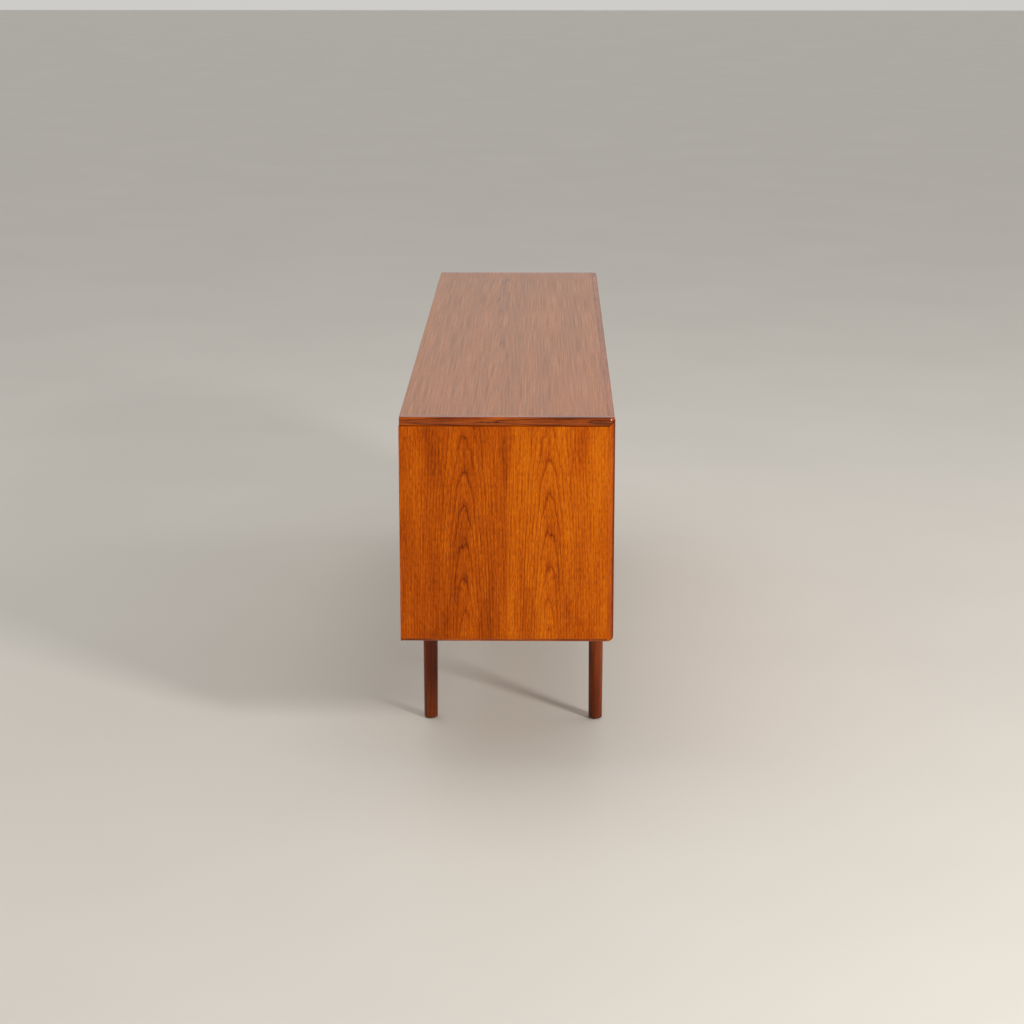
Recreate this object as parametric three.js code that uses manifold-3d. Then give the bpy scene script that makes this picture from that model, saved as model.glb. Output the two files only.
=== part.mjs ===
// Long teak sideboard: a veneered carcass on a four-legged frame. From the front, left to
// right: a cupboard with two hinged doors, a bank of three drawers, and a drinks bay behind
// a drop-down flap held by a sliding rod stay.
// Millimetres. X runs to the right seen from the front, Y to the back, Z up. The origin is
// on the floor, under the middle of the carcass.

import * as THREE from "three";
import { mergeVertices } from "three/addons/utils/BufferGeometryUtils.js";
import Module from "manifold-3d";

const wasm = await Module();
wasm.setup();

// ---- driving dimensions ---------------------------------------------------------------

const WIDTH = 2135; // along X, over the end panels
const DEPTH = 460; // along Y, front edges to back edges
const HEIGHT = 790; // floor to top
const CARCASS = 495; // height of the carcass, so the legs are 295 long

const TOP = 20; // thickness of the top
const END = 20; // thickness of an end panel
const BOTTOM = 18; // thickness of the bottom panel
const DIVIDER = 18;
const BACK = 6;
const SHELF = 16;
const LIPPING = 14; // solid strip on the carcass's front edges, as wide as the fronts are set back
const FRONT = 18; // thickness of doors, flap and drawer fronts
const GAP = 0.3; // between pieces that are glued or screwed face to face
const REVEAL = 1.5; // round a front, at the sides
const CORNER = 13; // rounding of the carcass's front corners
const EASING = 6; // rounding of an end panel's front and bottom edges
const BULGE = 3; // of the strips on the top's and bottom's edges

const CUPBOARD_BAY = 850;
const DRAWER_BAY = 560;

const PIN = 3.5; // radius of the hinge pins
const PIN_PLAY = 0.2; // their radial clearance in the carcass

const X0 = -WIDTH / 2;
const X1 = WIDTH / 2;
const Y0 = -DEPTH / 2;
const Y1 = DEPTH / 2;
const FLOOR_GAP = HEIGHT - CARCASS; // underside of the end panels
const TOP_UNDER = HEIGHT - TOP;
const BOTTOM_UNDER = FLOOR_GAP + 2;
const BOTTOM_FACE = BOTTOM_UNDER + BOTTOM;
const FRONT_FACE = Y0 + LIPPING; // outer face of the doors, flap and drawer fronts
const FRONT_BACK = FRONT_FACE + FRONT; // their inner face
const BACK_FACE = Y1 - 15; // front of the back panel, which is let in
const FRONT_Z0 = BOTTOM_FACE + 2; // the fronts' lower edge
const FRONT_Z1 = TOP_UNDER - 2; // and upper edge

const CUPBOARD_X0 = X0 + END;
const CUPBOARD_X1 = CUPBOARD_X0 + CUPBOARD_BAY;
const DRAWER_X0 = CUPBOARD_X1 + DIVIDER;
const DRAWER_X1 = DRAWER_X0 + DRAWER_BAY;
const DRINKS_X0 = DRAWER_X1 + DIVIDER;
const DRINKS_X1 = X1 - END;

// ---- materials ------------------------------------------------------------------------

const paint = (color, roughness, metalness = 0) => () =>
  new THREE.MeshStandardMaterial({ color, roughness, metalness });
const endVeneer = paint(0xb5510c, 0.42);
const frontVeneer = paint(0xb05a1c, 0.42);
const topVeneer = paint(0xa25c2a, 0.36);
const solidTeak = paint(0x89400f, 0.4);
const darkTeak = paint(0x6b3216, 0.38);
const inside = paint(0xb98a58, 0.6);
const plywood = paint(0xa47a4c, 0.7);
const beech = paint(0xc9a677, 0.6);
const brass = paint(0xb58a3c, 0.3, 1);

// ---- shape helpers --------------------------------------------------------------------

const part = new THREE.Group();

function add(name, material, geometry) {
  const mesh = new THREE.Mesh(geometry, material());
  mesh.name = name;
  part.add(mesh);
}

// A board or a bar between two opposite corners.
function block([x0, x1], [y0, y1], [z0, z1]) {
  return new THREE.BoxGeometry(x1 - x0, y1 - y0, z1 - z0).translate(
    (x0 + x1) / 2,
    (y0 + y1) / 2,
    (z0 + z1) / 2,
  );
}

// A closed outline of [u, v] points pushed along a length. u and v lie along the two axes
// after the length's own, in X, Y, Z order: Y and Z for X, X and Z for Y, X and Y for Z.
function prism(axis, outline, from, to) {
  const shape = new THREE.Shape(outline.map(([u, v]) => new THREE.Vector2(u, v)));
  const g = new THREE.ExtrudeGeometry(shape, { depth: to - from, bevelEnabled: false });
  g.translate(0, 0, from);
  const turn = {
    X: [0, 0, 1, 1, 0, 0, 0, 1, 0],
    Y: [1, 0, 0, 0, 0, 1, 0, 1, 0],
    Z: [1, 0, 0, 0, 1, 0, 0, 0, 1],
  }[axis];
  const [a, b, c, d, e, f, h, i, j] = turn;
  g.applyMatrix4(new THREE.Matrix4().set(a, b, c, 0, d, e, f, 0, h, i, j, 0, 0, 0, 0, 1));
  // Sending X, Z, Y to X, Y, Z mirrors the shape, so its faces are turned round.
  return axis === "Y" ? flipped(g) : g;
}

function flipped(geometry) {
  const p = geometry.getAttribute("position").array;
  for (let i = 0; i < p.length; i += 9)
    for (let k = 0; k < 3; k++) [p[i + 3 + k], p[i + 6 + k]] = [p[i + 6 + k], p[i + 3 + k]];
  return geometry;
}

// Points of an arc of n chords about (cu, cv), in degrees.
function arc(cu, cv, r, from, to, n) {
  const points = [];
  for (let i = 0; i <= n; i++) {
    const a = THREE.MathUtils.degToRad(from + ((to - from) * i) / n);
    points.push([cu + r * Math.cos(a), cv + r * Math.sin(a)]);
  }
  return points;
}

// A round pin or bore along an axis, from a start point.
function round(axis, radius, length, [x, y, z], segments = 32) {
  const g = new THREE.CylinderGeometry(radius, radius, length, segments);
  g.translate(0, length / 2, 0);
  if (axis === "X") g.rotateZ(-Math.PI / 2);
  if (axis === "Z") g.rotateX(Math.PI / 2);
  return g.translate(x, y, z);
}

// A three.js geometry as a manifold-3d solid, and back.
function solid(geometry) {
  const bare = geometry.index ? geometry.toNonIndexed() : geometry.clone();
  bare.deleteAttribute("normal");
  bare.deleteAttribute("uv");
  const merged = mergeVertices(bare, 1e-3);
  return new wasm.Manifold(
    new wasm.Mesh({
      numProp: 3,
      vertProperties: merged.attributes.position.array,
      triVerts: new Uint32Array(merged.index.array),
    }),
  );
}

function geometryOf(body) {
  const mesh = body.getMesh();
  const positions = new Float32Array(mesh.numVert * 3);
  for (let i = 0; i < mesh.numVert; i++)
    positions.set(
      mesh.vertProperties.subarray(i * mesh.numProp, i * mesh.numProp + 3),
      i * 3,
    );
  const g = new THREE.BufferGeometry();
  g.setAttribute("position", new THREE.BufferAttribute(positions, 3));
  g.setIndex(new THREE.BufferAttribute(mesh.triVerts, 1));
  g.computeVertexNormals();
  return g;
}

const cut = (geometry, ...tools) =>
  geometryOf(tools.reduce((body, tool) => body.subtract(solid(tool)), solid(geometry)));
const common = (...geometries) =>
  geometryOf(geometries.map(solid).reduce((a, b) => a.intersect(b)));

// ---- carcass --------------------------------------------------------------------------

// Outline of an edge strip, in [y, z]: a shallow bulge in front, between two crisp arrises.
function bulged(y0, y1, z0, z1) {
  const half = (z1 - z0) / 2;
  const radius = (half * half + BULGE * BULGE) / (2 * BULGE);
  const turn = THREE.MathUtils.radToDeg(Math.asin(half / radius));
  const curve = arc(y0 + radius, z0 + half, radius, 180 - turn, 180 + turn, 8);
  return [[y1, z0], [y1, z1], ...curve];
}

const MITRE = TOP - LIPPING; // how far below the top face the corner mitre starts

// The top is a veneered board with solid teak on the front and both ends.
const topInnerX = X1 - END;
const topBackY = Y1 - 1.3;
const topZ0 = TOP_UNDER + GAP;
const hingeZ = { top: TOP_UNDER, bottom: BOTTOM_FACE };
const doorPivotY = FRONT_FACE + FRONT / 2;
const doorPivotX = {
  left: CUPBOARD_X0 + REVEAL + FRONT / 2,
  right: CUPBOARD_X1 - REVEAL - FRONT / 2,
};
const PIN_IN_CARCASS = 11;
const PIN_IN_DOOR = 20;

function pinBores(z, direction) {
  const start = direction > 0 ? z - 1 : z - PIN_IN_CARCASS - 1;
  return Object.values(doorPivotX).map((x) =>
    round("Z", PIN + PIN_PLAY, PIN_IN_CARCASS + 2, [x, doorPivotY, start]),
  );
}

add(
  "top_panel",
  topVeneer,
  cut(
    block([-topInnerX + GAP, topInnerX - GAP], [FRONT_FACE + GAP, topBackY], [topZ0, HEIGHT]),
    ...pinBores(hingeZ.top, 1),
  ),
);
add(
  "top_front_lipping",
  solidTeak,
  prism("X", bulged(Y0, FRONT_FACE, topZ0, HEIGHT), -topInnerX + GAP, topInnerX - GAP),
);

// An end strip of the top: bulged outside, carried round the front corner, and mitred
// over the end panel's front strip. Made for the right end; side -1 mirrors it.
function topEndLipping(side) {
  const along = prism(
    "Y",
    bulged(-X1, -topInnerX, topZ0, HEIGHT).map(([u, v]) => [-side * u, v]),
    Y0,
    topBackY,
  );
  const across = prism("X", bulged(Y0, Y1, topZ0, HEIGHT), X0 - 1, X1 + 1);
  const plan = prism(
    "Z",
    [
      [side * topInnerX, Y0],
      [side * topInnerX, Y1],
      [side * X1, Y1],
      ...arc(X1 - CORNER, Y0 + CORNER, CORNER, 0, -90, 10).map(([x, y]) => [side * x, y]),
    ],
    topZ0 - 1,
    HEIGHT + 1,
  );
  const mitre = prism(
    "X",
    [
      [Y0 - 1, HEIGHT - MITRE + 1 + GAP],
      [FRONT_FACE, topZ0 + GAP],
      [FRONT_FACE + GAP, topZ0 - 1],
      [Y1 + 1, topZ0 - 1],
      [Y1 + 1, HEIGHT + 1],
      [Y0 - 1, HEIGHT + 1],
    ],
    X0 - 1,
    X1 + 1,
  );
  return common(faceOut(along), faceOut(across), faceOut(plan), faceOut(mitre));
}

// A mirrored outline makes a body that faces inwards, which this turns round.
function faceOut(geometry) {
  return solid(geometry).volume() < 0 ? flipped(geometry.toNonIndexed()) : geometry;
}

// An end panel's front strip: eased edges, rounded at its foot, mitred at its head.
function endLipping(side) {
  const plan = prism(
    "Z",
    [
      [X1 - END, FRONT_FACE],
      ...arc(X1 - END + EASING, Y0 + EASING, EASING, 180, 270, 6),
      ...arc(X1 - EASING, Y0 + EASING, EASING, 270, 360, 6),
      [X1, FRONT_FACE],
    ].map(([x, y]) => [side * x, y]),
    FLOOR_GAP,
    HEIGHT,
  );
  const profile = prism(
    "X",
    [
      [FRONT_FACE + 1, FLOOR_GAP],
      [FRONT_FACE + 1, TOP_UNDER - 1],
      [Y0 - 1, HEIGHT - MITRE + 1],
      ...arc(Y0 + CORNER, FLOOR_GAP + CORNER, CORNER, 180, 270, 10),
    ],
    X0 - 1,
    X1 + 1,
  );
  return common(faceOut(plan), faceOut(profile));
}

for (const [word, side] of [
  ["left", -1],
  ["right", 1],
]) {
  add(`top_${word}_lipping`, solidTeak, topEndLipping(side));
  add(`${word}_end_lipping`, solidTeak, endLipping(side));
}

// The flap turns on two pins near its lower edge, one in each side of its bay.
const FLAP_PIVOT_Z = FRONT_Z0 + FRONT / 2;
const flapPinBore = (x) =>
  round("X", PIN + PIN_PLAY, PIN_IN_CARCASS + 2, [x, doorPivotY, FLAP_PIVOT_Z]);

// An end panel: a board whose two lower edges are eased.
function endPanel(side) {
  const section = [
    [X1 - END, TOP_UNDER],
    ...arc(X1 - END + EASING, FLOOR_GAP + EASING, EASING, 180, 270, 6),
    ...arc(X1 - EASING, FLOOR_GAP + EASING, EASING, 270, 360, 6),
    [X1, TOP_UNDER],
  ].map(([x, z]) => [side * x, z]);
  return faceOut(prism("Y", section, FRONT_FACE + GAP, Y1));
}
add("left_end_panel", endVeneer, endPanel(-1));
add("right_end_panel", endVeneer, cut(endPanel(1), flapPinBore(DRINKS_X1 - 1)));

const innerX = [X0 + END + GAP, X1 - END - GAP];
const innerBackY = BACK_FACE - GAP;
add(
  "bottom_panel",
  inside,
  cut(
    block(innerX, [FRONT_FACE + GAP, innerBackY], [BOTTOM_UNDER, BOTTOM_FACE]),
    ...pinBores(hingeZ.bottom, -1),
  ),
);
add(
  "bottom_front_lipping",
  solidTeak,
  prism("X", bulged(Y0, FRONT_FACE, BOTTOM_UNDER, BOTTOM_FACE), ...innerX),
);
add(
  "back_panel",
  plywood,
  block(innerX, [BACK_FACE, BACK_FACE + BACK], [BOTTOM_UNDER, TOP_UNDER]),
);

const dividerY = [FRONT_FACE, innerBackY];
const dividerZ = [BOTTOM_FACE + GAP, TOP_UNDER];
add("left_divider", inside, block([CUPBOARD_X1, DRAWER_X0], dividerY, dividerZ));
add(
  "right_divider",
  inside,
  cut(
    block([DRAWER_X1, DRINKS_X0], dividerY, dividerZ),
    flapPinBore(DRINKS_X0 - PIN_IN_CARCASS - 1),
  ),
);

const CUPBOARD_SHELF_Z = 545;
const BAR_SHELF_Z = 612;
const BAR_SHELF_FRONT = 30;
add(
  "cupboard_shelf",
  inside,
  block(
    [CUPBOARD_X0 + 1, CUPBOARD_X1 - 1],
    [FRONT_BACK + 22, innerBackY - 1],
    [CUPBOARD_SHELF_Z, CUPBOARD_SHELF_Z + SHELF],
  ),
);
add(
  "bar_shelf",
  inside,
  block(
    [DRINKS_X0 + 1, DRINKS_X1 - 1],
    [BAR_SHELF_FRONT, innerBackY - 1],
    [BAR_SHELF_Z, BAR_SHELF_Z + SHELF],
  ),
);

// ---- legs and their frame -------------------------------------------------------------

const LEG_X = 700; // both ways from the middle
const LEG_Y = { front: -200, rear: 183 };
const LEG_R_HEAD = 17.2;
const LEG_R_FOOT = 15.8;
const RAIL_T = 22; // thickness of the frame's rails
const RAIL_H = 60;
const TENON = [10, 40, 15]; // thickness, height and length
const frameTop = BOTTOM_UNDER - GAP;

// Tapered turned leg with a small chamfer at the foot, grown all round by extra.
function legSolid(x, y, extra = 0) {
  const g = new THREE.LatheGeometry(
    [
      [0, -extra],
      [LEG_R_FOOT - 1.5 + extra, -extra],
      [LEG_R_FOOT + extra, 1.5 - extra],
      [LEG_R_HEAD + extra, frameTop + extra],
      [0, frameTop + extra],
    ].map(([r, z]) => new THREE.Vector2(r, z)),
    48,
  );
  return g.rotateX(Math.PI / 2).translate(x, y, 0);
}

const railZ = [frameTop - RAIL_H, frameTop];
const tenonZ = [frameTop - RAIL_H / 2 - TENON[1] / 2, frameTop - RAIL_H / 2 + TENON[1] / 2];
const legNames = { "-1front": "leg_front_left", "1front": "leg_front_right" };
legNames["-1rear"] = "leg_rear_left";
legNames["1rear"] = "leg_rear_right";

for (const side of [-1, 1]) {
  const x = side * LEG_X;
  for (const [row, y] of Object.entries(LEG_Y)) {
    const inward = row === "front" ? 1 : -1;
    const innerY = y + inward * 25;
    const deepY = y + inward * (LEG_R_HEAD - TENON[2] - GAP);
    add(
      legNames[side + row],
      darkTeak,
      cut(
        legSolid(x, y),
        block(
          [x - TENON[0] / 2 - GAP, x + TENON[0] / 2 + GAP],
          [Math.min(innerY, deepY), Math.max(innerY, deepY)],
          [tenonZ[0] - GAP, tenonZ[1] + GAP],
        ),
      ),
    );
  }
  const shoulders = cut(
    block([x - RAIL_T / 2, x + RAIL_T / 2], [LEG_Y.front, LEG_Y.rear], railZ),
    legSolid(x, LEG_Y.front, GAP),
    legSolid(x, LEG_Y.rear, GAP),
  );
  const tenons = block(
    [x - TENON[0] / 2, x + TENON[0] / 2],
    [LEG_Y.front + LEG_R_HEAD - TENON[2], LEG_Y.rear - LEG_R_HEAD + TENON[2]],
    tenonZ,
  );
  const rail = solid(shoulders).add(solid(tenons));
  add(side < 0 ? "left_cross_rail" : "right_cross_rail", darkTeak, geometryOf(rail));
}

const STRETCHER_H = 45;
const stretcherEnd = LEG_X - RAIL_T / 2 - GAP;
add(
  "long_rail",
  darkTeak,
  block(
    [-stretcherEnd, stretcherEnd],
    [-RAIL_T / 2, RAIL_T / 2],
    [frameTop - STRETCHER_H, frameTop],
  ),
);

// ---- doors ----------------------------------------------------------------------------

// A finger pull: a bar that flares towards the front, so fingertips hook behind its edges.
// Made along X about its own middle, with its back on the plane y = 0.
const PULL_PROUD = 12;
const PULL_FOOT = 6;
const PULL_FACE = 11;
function pull(length) {
  const outline = [
    [-PULL_FOOT, 0],
    [-PULL_FACE, -PULL_PROUD + 3],
    [-PULL_FACE + 2, -PULL_PROUD],
    [PULL_FACE - 2, -PULL_PROUD],
    [PULL_FACE, -PULL_PROUD + 3],
    [PULL_FOOT, 0],
  ].map(([v, u]) => [u, v]);
  const bar = prism("X", outline, -length / 2, length / 2);
  const ends = prism(
    "Z",
    [
      [-length / 2 + 5, 0],
      [-length / 2, -PULL_PROUD + 3],
      [-length / 2 + 2, -PULL_PROUD],
      [length / 2 - 2, -PULL_PROUD],
      [length / 2, -PULL_PROUD + 3],
      [length / 2 - 5, 0],
    ],
    -PULL_FACE - 1,
    PULL_FACE + 1,
  );
  return common(faceOut(bar), faceOut(ends));
}

const doorGap = 2.5; // between the two doors
const doorWidth = (CUPBOARD_BAY - 2 * REVEAL - doorGap) / 2;
const PULL_HEIGHT = 585; // middle of the door pulls
const DOOR_PULL = 170;
const PULL_INSET = 30; // from a door's free edge, or the flap's top edge

function door(word, side) {
  const pivotX = doorPivotX[word];
  const hingeX = pivotX + side * (FRONT / 2); // outermost point of the round hinge edge
  const freeX = hingeX - side * doorWidth;
  const r = FRONT / 2;
  const plan = faceOut(
    prism(
      "Z",
      [
        [freeX, FRONT_FACE],
        ...arc(pivotX, doorPivotY, r, -90, side > 0 ? 90 : -270, 14),
        [freeX, FRONT_BACK],
      ],
      FRONT_Z0,
      FRONT_Z1,
    ),
  );
  const bore = (z) => round("Z", PIN + 0.1, PIN_IN_DOOR + 2, [pivotX, doorPivotY, z]);
  add(
    `door_${word}_panel`,
    frontVeneer,
    cut(plan, bore(FRONT_Z0 - 2), bore(FRONT_Z1 - PIN_IN_DOOR)),
  );
  const length = PIN_IN_DOOR + PIN_IN_CARCASS + 1;
  const low = FRONT_Z0 + PIN_IN_DOOR - length - 0.5;
  const high = FRONT_Z1 - PIN_IN_DOOR + 0.5;
  add(`door_${word}_bottom_pin`, brass, round("Z", PIN, length, [pivotX, doorPivotY, low]));
  add(`door_${word}_top_pin`, brass, round("Z", PIN, length, [pivotX, doorPivotY, high]));
  add(
    `door_${word}_pull`,
    solidTeak,
    pull(DOOR_PULL)
      .rotateY(Math.PI / 2)
      .translate(freeX + side * PULL_INSET, FRONT_FACE - GAP, PULL_HEIGHT),
  );
}
door("left", -1);
door("right", 1);

// ---- drinks flap and its stay ---------------------------------------------------------

const flapX = [DRINKS_X0 + REVEAL, DRINKS_X1 - REVEAL];
const flapBore = (x) => round("X", PIN + 0.1, PIN_IN_DOOR + 2, [x, doorPivotY, FLAP_PIVOT_Z]);
add(
  "flap_panel",
  frontVeneer,
  cut(
    prism(
      "X",
      [
        [FRONT_BACK, FRONT_Z1],
        [FRONT_FACE, FRONT_Z1],
        ...arc(doorPivotY, FLAP_PIVOT_Z, FRONT / 2, 180, 360, 14),
      ],
      ...flapX,
    ),
    flapBore(flapX[0] - 2),
    flapBore(flapX[1] - PIN_IN_DOOR),
  ),
);
const flapPinLength = PIN_IN_DOOR + PIN_IN_CARCASS;
add(
  "flap_left_pin",
  brass,
  round("X", PIN, flapPinLength, [
    flapX[0] + PIN_IN_DOOR - 0.5 - flapPinLength,
    doorPivotY,
    FLAP_PIVOT_Z,
  ]),
);
add(
  "flap_right_pin",
  brass,
  round("X", PIN, flapPinLength, [flapX[1] - PIN_IN_DOOR + 0.5, doorPivotY, FLAP_PIVOT_Z]),
);
add(
  "flap_pull",
  solidTeak,
  pull(220).translate((flapX[0] + flapX[1]) / 2, FRONT_FACE - GAP, FRONT_Z1 - PULL_INSET),
);

// The stay is a rod hinged to the flap that slides through a swivelling eye on the end
// panel. Both centres lie on one circle about the flap's hinge, so by the inscribed-angle
// rule the rod always points at the eye and turns by exactly half the flap's angle.
const STAY_X = DRINKS_X1 - 17;
const STAY_BEHIND = 13; // the rod's hinge pin, behind the flap's inner face
const STAY_UP = 200; // and above the flap's hinge
const ROD_R = 3;
const ROD_LENGTH = 386;
const stayP = [FRONT / 2 + STAY_BEHIND, STAY_UP];
const stayRadius = Math.hypot(...stayP);
const EYE_ANGLE = THREE.MathUtils.degToRad(50); // back from upright, seen from the hinge
const stayS = [stayRadius * Math.sin(EYE_ANGLE), stayRadius * Math.cos(EYE_ANGLE)];
const P = [doorPivotY + stayP[0], FLAP_PIVOT_Z + stayP[1]]; // [y, z]
const S = [doorPivotY + stayS[0], FLAP_PIVOT_Z + stayS[1]];
const rodTilt = Math.atan2(S[1] - P[1], S[0] - P[0]); // about X, from +Y towards +Z

// Lug on the flap: a plate on the inner face with an ear that carries the rod's pin.
const EAR = [STAY_X - 12, STAY_X - 8];
const lugOutline = [
  [FRONT_BACK + GAP, P[1] - 16],
  ...arc(P[0], P[1], 6, -80, 80, 10),
  [FRONT_BACK + GAP, P[1] + 16],
];
const lugEar = prism("X", lugOutline, ...EAR);
const lugPin = round("X", 2.2, 15, [EAR[0] + 1, P[0], P[1]], 24);
const lugBase = block(
  [EAR[0] - 14, EAR[1]],
  [FRONT_BACK + GAP, FRONT_BACK + GAP + 2.5],
  [P[1] - 22, P[1] + 22],
);
add(
  "flap_stay_lug",
  brass,
  geometryOf(solid(lugEar).add(solid(lugPin)).add(solid(lugBase))),
);

// The rod, made along +Y from its hinge: a flat eye, the round rod and a stop collar.
function rod() {
  const eye = round("X", 5.5, 5, [-2.5, 0, 0], 32);
  const bar = round("Y", ROD_R, ROD_LENGTH - 4, [0, 4, 0], 24);
  const stop = round("Y", 4.6, 6, [0, ROD_LENGTH - 6, 0], 24);
  const bore = round("X", 2.5, 9, [-4.5, 0, 0], 24);
  return solid(eye).add(solid(bar)).add(solid(stop)).subtract(solid(bore));
}
add(
  "stay_rod",
  brass,
  geometryOf(rod()).rotateX(rodTilt).translate(STAY_X, P[0], P[1]),
);

// The swivelling eye: a round block with a bore for the rod, on a flanged post.
function eyeBlock() {
  const drum = round("X", 9, 11, [-5.5, 0, 0], 40);
  const rodBore = round("Y", ROD_R + 0.4, 24, [0, -12, 0], 24);
  const pinBore = round("X", 2.6, 3.2, [3, 0, 0], 24);
  return solid(drum).subtract(solid(rodBore)).subtract(solid(pinBore));
}
add(
  "stay_eye",
  brass,
  geometryOf(eyeBlock()).rotateX(rodTilt).translate(STAY_X, S[0], S[1]),
);
const postFlange = round("X", 12, 3, [DRINKS_X1 - GAP - 3, S[0], S[1]], 36);
const postShank = round("X", 6, 8, [STAY_X + 5.8, S[0], S[1]], 32);
const postPin = round("X", 2.3, 6, [STAY_X + 3.9, S[0], S[1]], 24);
add(
  "stay_post",
  brass,
  geometryOf(solid(postFlange).add(solid(postShank)).add(solid(postPin))),
);

// ---- drawers --------------------------------------------------------------------------

const DRAWER_HEIGHTS = [171, 147, 126]; // of the fronts, from the bottom up
const DRAWER_GAP = (FRONT_Z1 - FRONT_Z0 - DRAWER_HEIGHTS.reduce((a, b) => a + b)) / 2;
const DRAWER_SIDE = 12;
const DRAWER_BOTTOM = 6;
const DRAWER_PLAY = 3; // box side to divider
const RUNNER = [20, 16]; // width and height
const boxX = [DRAWER_X0 + DRAWER_PLAY, DRAWER_X1 - DRAWER_PLAY];
const boxInnerX = [boxX[0] + DRAWER_SIDE, boxX[1] - DRAWER_SIDE];
const boxY = [FRONT_BACK + GAP, 190];
const backY = [boxY[1] - DRAWER_SIDE, boxY[1]];
const frontX = [DRAWER_X0 + REVEAL, DRAWER_X1 - REVEAL];

function drawer(word, z0, height, onRunners) {
  const z1 = z0 + height;
  const runnerZ = [z0 + 2, z0 + 2 + RUNNER[1]];
  if (onRunners) {
    for (const [side, x] of [
      ["left", [DRAWER_X0 + GAP, DRAWER_X0 + RUNNER[0]]],
      ["right", [DRAWER_X1 - RUNNER[0], DRAWER_X1 - GAP]],
    ])
      add(`${word}_${side}_runner`, beech, block(x, [FRONT_BACK + 2, innerBackY - 1], runnerZ));
  }
  const boxZ = [(onRunners ? runnerZ[1] : BOTTOM_FACE) + 0.4, z1 - 16];
  const bottomZ = [boxZ[0] + 8, boxZ[0] + 8 + DRAWER_BOTTOM];
  add(`${word}_front`, frontVeneer, block(frontX, [FRONT_FACE, FRONT_BACK], [z0, z1]));
  add(
    `${word}_pull`,
    solidTeak,
    pull(200).translate((frontX[0] + frontX[1]) / 2, FRONT_FACE - GAP, z0 + height / 2),
  );
  add(`${word}_left_side`, inside, block([boxX[0], boxInnerX[0]], boxY, boxZ));
  add(`${word}_right_side`, inside, block([boxInnerX[1], boxX[1]], boxY, boxZ));
  const betweenX = [boxInnerX[0] + GAP, boxInnerX[1] - GAP];
  add(`${word}_back`, inside, block(betweenX, backY, [bottomZ[1] + GAP, boxZ[1]]));
  add(`${word}_bottom`, plywood, block(betweenX, boxY, bottomZ));
}

let drawerZ = FRONT_Z0;
["lower_drawer", "middle_drawer", "cutlery_drawer"].forEach((word, i) => {
  drawer(word, drawerZ, DRAWER_HEIGHTS[i], i > 0);
  drawerZ += DRAWER_HEIGHTS[i] + DRAWER_GAP;
});

export default part;
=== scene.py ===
"""Long teak sideboard, seen from its left end.

Finer wooden, brass and felt pieces stand for the CAD boards. Everything is in metres, in the
part's own frame: X to the right seen from the front, Y to the back, Z up, origin on the
floor under the middle.
"""

import math

import bmesh
import bpy
from mathutils import Matrix, Vector


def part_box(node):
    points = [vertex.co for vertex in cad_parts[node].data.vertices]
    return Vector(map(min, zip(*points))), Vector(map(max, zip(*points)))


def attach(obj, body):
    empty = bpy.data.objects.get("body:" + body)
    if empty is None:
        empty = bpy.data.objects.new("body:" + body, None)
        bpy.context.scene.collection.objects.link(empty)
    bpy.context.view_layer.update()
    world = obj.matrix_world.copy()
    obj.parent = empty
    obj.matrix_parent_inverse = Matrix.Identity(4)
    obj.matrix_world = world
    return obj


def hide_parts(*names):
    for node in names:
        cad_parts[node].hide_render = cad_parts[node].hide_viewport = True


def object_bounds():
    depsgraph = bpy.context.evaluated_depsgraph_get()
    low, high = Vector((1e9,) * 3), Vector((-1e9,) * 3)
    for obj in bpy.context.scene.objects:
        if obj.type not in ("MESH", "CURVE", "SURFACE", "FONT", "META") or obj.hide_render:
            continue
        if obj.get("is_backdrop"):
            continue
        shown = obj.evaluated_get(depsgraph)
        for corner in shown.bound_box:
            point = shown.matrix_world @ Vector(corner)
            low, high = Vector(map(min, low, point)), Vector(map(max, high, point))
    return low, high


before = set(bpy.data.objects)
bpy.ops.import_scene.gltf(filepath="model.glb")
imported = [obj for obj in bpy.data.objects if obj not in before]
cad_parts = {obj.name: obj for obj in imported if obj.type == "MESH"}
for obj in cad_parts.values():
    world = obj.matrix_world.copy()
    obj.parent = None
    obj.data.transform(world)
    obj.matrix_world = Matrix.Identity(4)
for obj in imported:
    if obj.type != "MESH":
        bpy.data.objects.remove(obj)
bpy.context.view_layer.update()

MM = 0.001
X, Y, Z = 0, 1, 2
SEAT = 0.02 * MM  # gap under a screw head or a plate, so that no two faces share a place
VENEER_ARRIS = 0.3 * MM  # rounding of a veneered panel's edges
STRIP_ARRIS = 0.9 * MM  # and of a solid strip's
FAR = 1.1  # metres from the middle, past every piece

# ---- materials ----


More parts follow.
